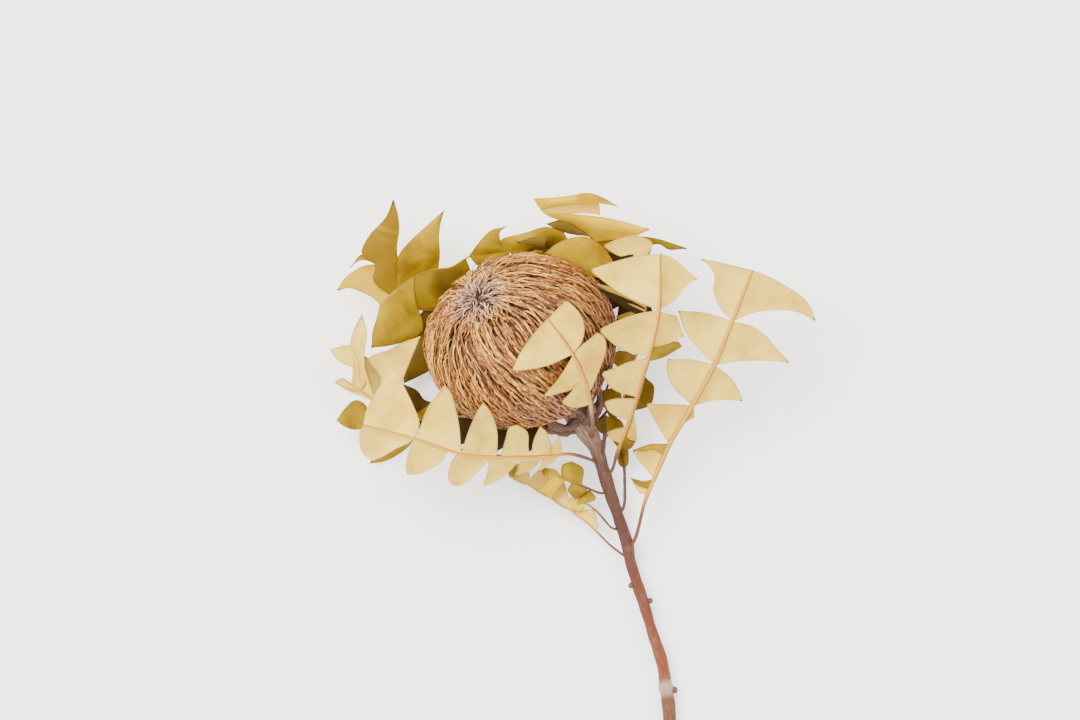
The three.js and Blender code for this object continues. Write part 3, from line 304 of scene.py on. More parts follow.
def cross_frames(centres: np.ndarray) -> tuple[np.ndarray, np.ndarray]:
    """Carries two directions across a line along it without twist.

    Args:
        centres: places along the line.

    Returns:
        The two directions at each place.
    """
    tangents = np.gradient(centres, axis=0)
    tangents /= np.linalg.norm(tangents, axis=1)[:, None]
    first = np.cross(tangents[0], (0.0, 0.0, 1.0))
    if np.linalg.norm(first) < 0.1:
        first = np.cross(tangents[0], (1.0, 0.0, 0.0))
    firsts = [unit_of(first)]
    for tangent in tangents[1:]:
        firsts.append(unit_of(firsts[-1] - tangent * np.dot(firsts[-1], tangent)))
    firsts = np.array(firsts)
    return firsts, np.cross(tangents, firsts)


def tube(name: str, centres: np.ndarray, radii: np.ndarray, sides: int) -> bpy.types.Object:
    """Rolls a grid into a closed tube along a line.

    Args:
        name: name of the tube.
        centres: places along its middle, in millimetres.
        radii: radius at each place, or at each place and each side.
        sides: sides round it.

    Returns:
        The tube, with its length in millimetres and its share on the points.
    """
    first, second = cross_frames(centres)
    turn = np.linspace(0, 2 * math.pi, sides + 1)
    reach = radii[:, None] if radii.ndim == 1 else np.concatenate([radii, radii[:, :1]], axis=1)
    across = np.cos(turn)[None, :, None] * first[:, None, :]
    across = across + np.sin(turn)[None, :, None] * second[:, None, :]
    places = centres[:, None, :] + across * reach[..., None]
    length = run_along(centres)
    girth = 2 * math.pi * float(np.mean(radii))
    uv = np.stack(np.broadcast_arrays(length[:, None], girth * turn[None, :] / (2 * math.pi)), axis=-1)
    share = np.repeat((length / length[-1])[:, None], sides + 1, axis=1)
    sides_of_rod = np.repeat(np.abs(np.cos(turn))[None, :], len(centres), axis=0)
    obj = sheet(name, places, uv, {"reach": share, "edge": np.ones_like(share), "side": sides_of_rod})
    face_outward(obj, weld=1e-6)
    return obj


# Materials


class Graph:
    """Nodes of one material, with the few steps that every finish here is made of."""

    def __init__(self, name: str) -> None:
        """Starts the material with its shader.

        Args:
            name: the material's name.
        """
        self.material = bpy.data.materials.new(name)
        self.material.use_nodes = True
        self.tree = self.material.node_tree
        self.shader = self.tree.nodes["Principled BSDF"]

    def add(self, kind: str, settings: Settings | None = None, links: Links | None = None) -> bpy.types.Node:
        """Adds a node with its settings and its links.

        Args:
            kind: the node's type, without the leading ShaderNode.
            settings: properties by name, sockets by name or number, and stops for a colour ramp.
            links: output sockets by the input socket they feed.

        Returns:
            The node.
        """
        node = self.tree.nodes.new("ShaderNode" + kind)
        for key, value in (settings or {}).items():
            if key == "stops":
                ramp = node.color_ramp.elements
                while len(ramp) < len(value):
                    ramp.new(0.5)
                for element, (place, code) in zip(ramp, value):
                    element.position = place
                    element.color = linear(code)
            elif isinstance(key, int) or key in node.inputs:
                node.inputs[key].default_value = value
            else:
                setattr(node, key, value)
        for key, source in (links or {}).items():
            self.tree.links.new(source, node.inputs[key])
        return node

    def number(self, name: str) -> Socket:
        """Reads a number that is kept on the points of the mesh."""
        return self.add("Attribute", {"attribute_name": name}).outputs["Fac"]

    def place(self) -> Socket:
        """Reads the place on the flower, in metres."""
        return self.add("TexCoord").outputs["Object"]

    def surface(self, stretch: Point | None = None) -> Socket:
        """Reads the surface map in millimetres, stretched where that is given."""
        uv = self.add("UVMap", {"uv_map": SURFACE_UV}).outputs["UV"]
        return self.add("Mapping", {"Scale": stretch}, {"Vector": uv}).outputs["Vector"] if stretch else uv

    def noise(
        self, where: Socket, scale: float, detail: float, roughness: float, distortion: float = 0.0,
    ) -> Socket:
        """Adds uneven cloudy patches, between 0 and 1.

        Args:
            where: coordinates to read.
            scale: patches in one unit of the coordinates.
            detail: levels of finer patches.
            roughness: how strong the finer ones are.
            distortion: how much the patches are pulled about.

        Returns:
            The pattern.
        """
        look = {"Scale": scale, "Detail": detail, "Roughness": roughness, "Distortion": distortion}
        return self.add("TexNoise", look, {"Vector": where}).outputs["Fac"]

    def fade(self, value: Socket, start: float, end: float, first: float, last: float) -> Socket:
        """Carries a number from the range of start to end into the range of first to last."""
        return self.add("MapRange", {1: start, 2: end, 3: first, 4: last}, {0: value}).outputs[0]

    def ramp(self, value: Socket, *stops: tuple[float, str]) -> Socket:
        """Turns a number into a colour between stops."""
        return self.add("ValToRGB", {"stops": stops}, {"Fac": value}).outputs["Color"]

    def mixed(self, share: Socket, one: Socket | str, other: Socket | str) -> Socket:
        """Mixes two colours, each a socket or an sRGB hex colour.

        Args:
            share: how much there is of the other.
            one: first colour.
            other: second colour.

        Returns:
            The mixed colour.
        """
        settings: Settings = {"data_type": "RGBA"}
        links: Links = {0: share}
        for place, colour in ((6, one), (7, other)):
            if isinstance(colour, str):
                settings[place] = linear(colour)
            else:
                links[place] = colour
        return self.add("Mix", settings, links).outputs[2]

    def finish(self, base: Socket, roughness: float, gloss: float = 0.5) -> bpy.types.Material:
        """Gives the shader its last values.

        Args:
            base: colour.
            roughness: roughness, the same all over.
            gloss: specular level, the same all over.

        Returns:
            The material.
        """
        self.tree.links.new(base, self.shader.inputs["Base Color"])
        self.shader.inputs["Roughness"].default_value = roughness
        self.shader.inputs["Specular IOR Level"].default_value = gloss
        return self.material

    def relief(self, height: Socket, strength: float, depth: float) -> None:
        """Raises the surface by a pattern, up to a depth in millimetres."""
        bump = self.add("Bump", {"Strength": strength, "Distance": depth * MM}, {"Height": height})
        self.tree.links.new(bump.outputs["Normal"], self.shader.inputs["Normal"])


# Length of one band of a wave pattern at scale 1, in the units of its coordinates
WAVE_UNIT = 2 * math.pi / 20


@dataclass(frozen=True)
class LeafSkin:
    """Dry leather-like leaf blade, one side of it.

    The underside is matt with a felt of short hairs, so it reads as cream paper. The upper side
    has a thin wax coat, so it takes a soft sheen. Fine veins run from the midrib to the edge.
    """

    name: str
    light: str
    middle: str
    deep: str
    tip: str
    vein: str
    rim: str
    roughness: float
    gloss: float
    vein_spacing: float = 1.5
    patch: float = 14.0
    grain: float = 1.1
    shadow: str = "281608"
    grain_strength: float = 0.25
    rim_width: float = 0.8
    rim_strength: float = 0.55
    tip_from: float = 0.93
    tip_full: float = 0.985
    tip_strength: float = 0.85
    vein_strength: float = 0.35
    bump: float = 0.25
    bump_depth: float = 0.25

    def make(self) -> bpy.types.Material:
        """Builds the material.

        Returns:
            The material.
        """
        graph = Graph(self.name)
        place = graph.place()
        veins = graph.add(
            "TexWave",
            {"wave_type": "BANDS", "bands_direction": "X", "Scale": WAVE_UNIT / self.vein_spacing,
             "Distortion": 1.6, "Detail": 3.0, "Detail Scale": 1.2, "Detail Roughness": 0.6},
            {"Vector": graph.surface()},
        ).outputs["Fac"]
        patches = graph.noise(place, 1 / (self.patch * MM), 4.0, 0.55, 0.4)
        grain = graph.noise(place, 1 / (self.grain * MM), 3.0, 0.7)
        shifted = graph.add("Math", {"operation": "ADD"}, {0: patches, 1: graph.number("tint")}).outputs[0]
        base = graph.ramp(shifted, (0.32, self.deep), (0.5, self.middle), (0.68, self.light))
        base = graph.mixed(graph.fade(veins, 0.55, 1.0, 0.0, self.vein_strength), base, self.vein)
        base = graph.mixed(graph.fade(grain, 0.62, 0.8, 0.0, self.grain_strength), base, self.deep)
        rim = graph.fade(graph.number("edge"), 0.0, self.rim_width, self.rim_strength, 0.0)
        base = graph.mixed(rim, base, self.rim)
        tip = graph.fade(graph.number("reach"), self.tip_from, self.tip_full, 0.0, self.tip_strength)
        base = graph.mixed(tip, base, self.tip)
        # Painted shade: the shade number turns a lobe dark brown where it lies in shadow and in its patches
        # of painted shade; on a few leaves it stands for browning of the dry leaf
        base = graph.mixed(graph.number("shade"), base, self.shadow)
        height = graph.add("Math", {"operation": "MULTIPLY_ADD", 1: 0.4}, {0: grain, 2: veins}).outputs[0]
        graph.relief(height, self.bump, self.bump_depth)
        return graph.finish(base, self.roughness, self.gloss)


@dataclass(frozen=True)
class Midrib:
    """Woody midrib and petiole: ridged along its length, purple-brown where it meets the stem."""

    name: str = "dry_leaf_midrib"
    light: str = "e8aa10"
    dark: str = "ca8608"
    side: str = "9a5a06"
    foot: str = "5c2f26"
    shadow: str = "2c1c0c"

    def make(self) -> bpy.types.Material:
        """Builds the material.

        Returns:
            The material.
        """
        graph = Graph(self.name)
        ridges = graph.noise(graph.surface((0.12, 1.6, 1.0)), 1.4, 3.0, 0.6)
        base = graph.ramp(ridges, (0.35, self.dark), (0.65, self.light))
        base = graph.mixed(graph.fade(graph.number("side"), 0.5, 0.8, 0.0, 0.95), base, self.side)
        base = graph.mixed(graph.number("foot"), base, self.foot)
        # Painted shade, the same as on the lobes of the leaf
        base = graph.mixed(graph.number("shade"), base, self.shadow)
        graph.relief(ridges, 0.5, 0.2)
        return graph.finish(base, 0.55)


@dataclass(frozen=True)
class Bark:
    """Thin dry bark: wrinkled lengthwise with painted shade in the furrows, redder in the middle of the stem,
    mauve at the neck.

    along holds its colours from the cut end to the neck, by share of the stem's length.
    """

    name: str = "dry_banksia_bark"
    along: Stops = (
        (0.0, "6e4c38"), (0.3, "744424"), (0.36, "8a3e12"), (0.55, "6c2e12"), (0.7, "4a2010"),
        (0.82, "644234"), (0.9, "bc987c"), (1.0, "c4a288"),
    )
    crease_shade: str = "3e2014"
    worn: str = "b08c6c"
    ring: str = "c9b49c"
    patch: float = 7.0

    def make(self) -> bpy.types.Material:
        """Builds the material.

        Returns:
            The material.
        """
        graph = Graph(self.name)
        wrinkles = graph.noise(graph.surface((0.14, 1.1, 1.0)), 1.3, 5.0, 0.65)
        patches = graph.noise(graph.place(), 1 / (self.patch * MM), 5.0, 0.7)
        base = graph.ramp(graph.number("reach"), *self.along)
        # Painted shade: the furrows of the wrinkles are darker
        base = graph.mixed(graph.fade(wrinkles, 0.42, 0.62, 0.65, 0.0), base, self.crease_shade)
        base = graph.mixed(graph.fade(patches, 0.55, 0.75, 0.0, 0.2), base, self.worn)
        base = graph.mixed(graph.number("ring"), base, self.ring)
        graph.relief(wrinkles, 0.7, 0.35)
        return graph.finish(base, 0.75)


@dataclass(frozen=True)
class DryStyle:
    """Wiry dried style: golden straw where the light reaches it, rustier towards the neck, and painted
    dark brown towards its root, as shade deep among the others.

    The numbers on its points hold its own draw of tone, the angle from the pole of the head and
    how far out it lies among the others. The side of the head away from the key light is painted
    darker, as shade. The pairs of numbers say where a change starts and ends.
    """

    name: str = "dried_banksia_style"
    golden: Stops = ((0.0, "5e3010"), (0.35, "8a4e18"), (0.7, "bb7c28"), (1.0, "e6b450"))
    rusty: Stops = ((0.0, "54240c"), (0.4, "7c3c14"), (0.75, "a45e20"), (1.0, "d69a3e"))
    crown: Stops = ((0.0, "664636"), (0.5, "a07c64"), (1.0, "d2b69c"))
    worn: str = "84441e"
    shaded_side: str = "6c3212"
    buried_shade: str = "42200e"
    unevenness: float = 0.38
    fine_patch: float = 1.7
    worn_patch: float = 9.0
    worn_strength: float = 0.35
    rusting: tuple[float, float] = (0.9, 2.1)
    crown_edge: tuple[float, float] = (0.12, 0.4)
    shaded_side_from: tuple[float, float] = (10.0, 40.0)
    shaded_side_strength: float = 0.62

    def make(self) -> bpy.types.Material:
        """Builds the material.

        Returns:
            The material.
        """
        graph = Graph(self.name)
        place = graph.place()
        polar = graph.number("polar")
        fine = graph.noise(place, 1 / (self.fine_patch * MM), 2.0, 0.6)
        uneven = graph.fade(fine, 0.3, 0.7, -self.unevenness, self.unevenness)
        drawn = {0: graph.number("tone"), 1: uneven}
        tone = graph.add("Math", {"operation": "ADD", "use_clamp": True}, drawn).outputs[0]
        golden, rusty, crown = (graph.ramp(tone, *stops) for stops in (self.golden, self.rusty, self.crown))
        base = graph.mixed(graph.fade(polar, *self.rusting, 0.0, 1.0), golden, rusty)
        base = graph.mixed(graph.fade(polar, *self.crown_edge, 1.0, 0.0), base, crown)
        patches = graph.noise(place, 1 / (self.worn_patch * MM), 3.0, 0.6)
        base = graph.mixed(graph.fade(patches, 0.4, 0.7, 0.0, self.worn_strength), base, self.worn)
        # Painted shade: the side of the head away from the key light, towards +X, turns darker
        across = graph.add("SeparateXYZ", {}, {"Vector": place}).outputs["X"]
        far = graph.fade(across, self.shaded_side_from[0] * MM, self.shaded_side_from[1] * MM, 0.0, self.shaded_side_strength)
        base = graph.mixed(far, base, self.shaded_side)
        # Painted shade: styles deep among the others turn dark brown
        base = graph.mixed(graph.number("depth"), self.buried_shade, base)
        return graph.finish(base, 0.5, 0.35)


@dataclass(frozen=True)
class Felt:
    """Felted bracts and core: matt fibres, with painted shade between them."""

    name: str
    light: str
    dark: str

    def make(self) -> bpy.types.Material:
        """Builds the material.

        Returns:
            The material.
        """
        graph = Graph(self.name)
        fibres = graph.noise(graph.place(), 1 / (1.6 * MM), 6.0, 0.75)
        base = graph.ramp(fibres, (0.38, self.dark), (0.64, self.light))
        graph.relief(fibres, 0.8, 0.5)
        return graph.finish(base, 0.9)


@dataclass
class Finishes:
    """Every finish of the flower, made once."""

    underside: bpy.types.Material = field(default_factory=lambda: LeafSkin(
        "dry_leaf_underside", light="f2d05e", middle="e8c24e", deep="d4a83e", tip="3c2c1c",
        vein="d0a850", rim="a8843c", roughness=0.85, gloss=0.1, vein_strength=0.2, bump=0.12,
    ).make())
    olive: bpy.types.Material = field(default_factory=lambda: LeafSkin(
        "dry_leaf_upper_side", light="b8960e", middle="a07e08", deep="7c5c04", tip="3a2c0c",
        vein="c4a220", rim="5c4a10", roughness=0.6, gloss=0.12, vein_strength=0.05, bump=0.05,
    ).make())
    yellow: bpy.types.Material = field(default_factory=lambda: LeafSkin(
        "dry_leaf_bright_side", light="eecc00", middle="e6bc00", deep="ca9600", tip="4f3a10",
        vein="f6d428", rim="7c5e18", roughness=0.6, gloss=0.12, vein_strength=0.1, bump=0.1,
    ).make())
    midrib: bpy.types.Material = field(default_factory=lambda: Midrib().make())
    upper_rib: bpy.types.Material = field(default_factory=lambda: Midrib(
        "dry_leaf_upper_rib", light="b98c22", dark="8a6414", side="6b4a10", foot="5c3226",
    ).make())
    bark: bpy.types.Material = field(default_factory=lambda: Bark().make())
    style: bpy.types.Material = field(default_factory=lambda: DryStyle().make())
    bract: bpy.types.Material = field(default_factory=lambda: Felt("felted_bract", "9d8377", "5a4238").make())
    core: bpy.types.Material = field(default_factory=lambda: Felt("woody_core", "5a3620", "2a170c").make())


# Leaves

# A plain edge: share of its chord, and share of its swell there
LOBE_SWELL = ((0.2, 0.75), (0.45, 1.0), (0.75, 0.62))
EDGE_STEPS = 60
# Rows of a blade stop just short of the tip, and stand closer towards it
ALMOST_TIP = 0.997
ROWS_TO_TIP = 1.2
# Ripple of a blade's edge as a share of its length
RIPPLE = 0.013
# Height in millimetres that no blade goes below
LOWEST_BLADE = 0.3
# How dark a patch of painted shade is in its middle
SHADE_PATCH = 0.75
# Shares of a rib's length where it reaches its full radius and where it narrows, and by how much
RIB_FULL_AT = 0.45
RIB_NARROWS_AT = 0.7
RIB_NARROWING = 0.45
# Knots along a rib: how fast they follow each other, and their share of its radius
RIB_KNOTS = 40
RIB_KNOT_SIZE = 0.06
# How far apart the lobes of one leaf are drawn in tone
TINT_SPREAD = 0.07
# Share of a lobe's length that counts as its tip's, where the tips stay pale
PALE_TIP = 0.9


@dataclass(frozen=True)
class Lobe:
    """One lobe of a leaf, from a stretch of the midrib to a tip.

    near and far are its edges on the stem side and on the end side. Each is a number, for a
    plain swell as a share of its length, or the places it passes through as seen from above.
    The brown patch of painted shade, where the lobe lies in shadow or curls, is given by its middle
    and its radius. shade paints the whole lobe darker: painted shade where it lies in shadow, and
    browning on a few dry leaves. tint makes the lobe lighter.
    """

    first: float
    last: float
    tip: Point
    near: Edge = 0.16
    far: Edge = 0.05
    bend: float = 0.04
    arch: float = 0.07
    flipped: bool = False
    shade: float = 0.0
    shade_patch: Point | None = None
    tint: float = 0.0


def as_seen(place: Sequence[float]) -> np.ndarray:
    """Moves a place that is written as it looks from above to where it stands.

    Args:
        place: across and up as seen against the floor, and the true height.

    Returns:
        The true place.
    """
    shrink = 1 - place[2] / EYE[2]
    across, up = (eye + (seen - eye) * shrink for eye, seen in zip(EYE[:2], place[:2]))
    return np.array((across, up, place[2]))


@dataclass
class Leaf:
    """One leaf: its petiole and midrib, and the lobes on both sides of it."""

    name: str
    shows: Face
    rib: Sequence[Point]
    lobes: Sequence[Lobe]
    tone: Tone = Tone.OLIVE
    rib_radius: float = 0.6
    shade: float = 0.0
    petiole_radius: float = 0.65
    foot: float | None = None
    dark_tips: bool = True
    rows: int = 21
    columns: int = 13
    thickness: float = 0.4
    seed: int = 1
    course: Course = field(init=False)
    random: np.random.Generator = field(init=False)

    def __post_init__(self) -> None:
        """Sets up the midrib's line and the leaf's own random draw."""
        self.course = Course([tuple(as_seen(place)) for place in self.rib])
        self.random = np.random.default_rng(self.seed)

    def edge(
        self, root: np.ndarray, tip: np.ndarray, shape: Edge, normal: np.ndarray, sign: int,
        shares: np.ndarray,
    ) -> np.ndarray:
        """Places along one edge of a lobe.

        Args:
            root: where the edge leaves the midrib.
            tip: tip of the lobe.
            shape: the edge's swell, or the places it passes through.
            normal: direction across the lobe's plane.
            sign: side of the chord that the edge swells to.
            shares: shares of the edge's length.

        Returns:
            Three millimetres for each share.
        """
        chord = tip - root
        if isinstance(shape, (int, float)):
            outward = np.cross(chord, normal) * sign
            outward *= shape * np.linalg.norm(chord) / np.linalg.norm(outward)
            middle = [root + chord * share + outward * swell for share, swell in LOBE_SWELL]
        else:
            middle = []
            for x, y in shape:
                height = root[2] - ((x - root[0]) * normal[0] + (y - root[1]) * normal[1]) / normal[2]
                middle.append(as_seen((x, y, height)))
        line = Course([root, *middle, tip]).sampled(EDGE_STEPS)
        run = run_along(line)
        return np.stack([np.interp(shares * run[-1], run, line[:, k]) for k in range(3)], axis=-1)

    def blade(self, index: int, lobe: Lobe) -> bpy.types.Object:
        """Makes the thin sheet of one lobe.

        Args:
            index: the lobe's number in its leaf.
            lobe: the lobe.

        Returns:
            The sheet, facing up.
        """
        spans = len(self.rib) - 1
        start = self.course.at(lobe.first / spans)
        end = self.course.at(lobe.last / spans)
        tip = as_seen(lobe.tip)
        normal = unit_of(np.cross(end - start, tip - start))
        crown = self.shows.value * (1 if normal[2] >= 0 else -1) * (-1 if lobe.flipped else 1)
        s = 1 - (1 - np.linspace(0, ALMOST_TIP, self.rows)) ** ROWS_TO_TIP
        t = np.linspace(-1, 1, self.columns)
        near = self.edge(start, tip, lobe.near, normal, -1, s)
        far = self.edge(end, tip, lobe.far, normal, 1, s)
        share = (t + 1) / 2
        places = near[:, None, :] * (1 - share)[None, :, None] + far[:, None, :] * share[None, :, None]
        base = np.array([self.course.at((lobe.first + (lobe.last - lobe.first) * k) / spans) for k in share])
        straight = start[None, :] + (end - start)[None, :] * share[:, None]
        places += (base - straight)[None, :, :] * ((1 - s) ** 2)[:, None, None]
        width = np.linalg.norm(far - near, axis=1)
        length = float(np.linalg.norm(tip - (start + end) / 2))
        rise = crown * lobe.arch * width[:, None] * (1 - t[None, :] ** 2) * np.minimum(1, 4 * s)[:, None]
        rise += 4 * (s * (1 - s))[:, None] * crown * lobe.bend * length
        phase, pace = self.random.uniform(0, WHOLE_TURN), self.random.uniform(4, 8)
        ripple = np.sin(phase + pace * s)[:, None] * (t[None, :] ** 2) * np.minimum(1, 3 * s)[:, None]
        rise += RIPPLE * length * ripple
        places += normal[None, None, :] * rise[..., None]
        places[..., 2] = np.maximum(places[..., 2], LOWEST_BLADE)
        along = unit_of(end - start)
        over = np.cross(normal, along)
        flat = places - start
        uv = np.stack([flat @ along, flat @ over], axis=-1)
        edge = width[:, None] * (1 - np.abs(t[None, :])) / 2
        reach = np.repeat(s[:, None], len(t), axis=1) * (1 if self.dark_tips else PALE_TIP)
        numbers = {
            "edge": edge,
            "reach": reach,
            "tint": np.full_like(reach, lobe.tint + self.random.uniform(-TINT_SPREAD, TINT_SPREAD)),
            "shade": np.full_like(reach, max(lobe.shade, self.shade)),
        }
        # A patch of painted shade, darkest at its middle
        if lobe.shade_patch:
            away = np.hypot(places[..., 0] - lobe.shade_patch[0], places[..., 1] - lobe.shade_patch[1])
            numbers["shade"] = np.maximum(numbers["shade"], SHADE_PATCH * np.exp(-(away / lobe.shade_patch[2]) ** 4))
        facing = np.cross(places[1, -1] - places[1, 0], places[2, 0] - places[1, 0])
        if normal[2] * np.dot(facing, normal) < 0:
            places, uv = places[:, ::-1], uv[:, ::-1]
            numbers = {key: values[:, ::-1] for key, values in numbers.items()}
        return sheet(f"{self.name}_lobe_{index}", places, uv, numbers)

    def midrib(self) -> bpy.types.Object:
        """Makes the petiole and the midrib.

        Returns:
            The tapered rod.
        """
        centres = self.course.sampled(6 * (len(self.rib) - 1))
        share = np.linspace(0, 1, len(centres))
        widest = np.clip(share / RIB_FULL_AT, 0, 1)
        radii = self.petiole_radius + (self.rib_radius - self.petiole_radius) * widest
        radii *= 1 + RIB_KNOT_SIZE * np.sin(RIB_KNOTS * share + self.seed)
        radii *= 1 - RIB_NARROWING * np.clip((share - RIB_NARROWS_AT) / (1 - RIB_NARROWS_AT), 0, 1)
        rod = tube(f"{self.name}_rib", centres, radii, 12)
        reach = np.zeros(len(rod.data.vertices), np.float32)
        rod.data.attributes["reach"].data.foreach_get("value", reach)
        run = run_along(centres)
        bare = np.interp(min(lobe.first for lobe in self.lobes) / (len(self.rib) - 1), share, run / run[-1])
        bare = bare if self.foot is None else self.foot
        set_float(rod, "foot", np.clip((bare - reach) / (bare * 0.3 + 0.01), 0, 0.95))
        set_float(rod, "shade", np.full(len(reach), self.shade))
        return rod

    def build(self, finishes: Finishes) -> bpy.types.Object:
        """Builds the whole leaf as one piece.

        Args:
            finishes: the finishes.

        Returns:
            The leaf.
        """
        upper = finishes.olive if self.tone is Tone.OLIVE else finishes.yellow
        blades = []
        for index, lobe in enumerate(self.lobes):
            blade = self.blade(index, lobe)
            pale_up = (self.shows is Face.UNDERSIDE) != lobe.flipped
            for material in (finishes.underside, upper) if pale_up else (upper, finishes.underside):
                blade.data.materials.append(material)
            thicken(blade, self.thickness, back_material=1)
            blades.append(blade)
        rod = self.midrib()
        rod.data.materials.append(finishes.midrib if self.shows is Face.UNDERSIDE else finishes.upper_rib)
        leaf = join([*blades, rod], self.name + "_dressed")
        smooth(leaf, 50)
        hand_over(leaf, self.name)
        return leaf


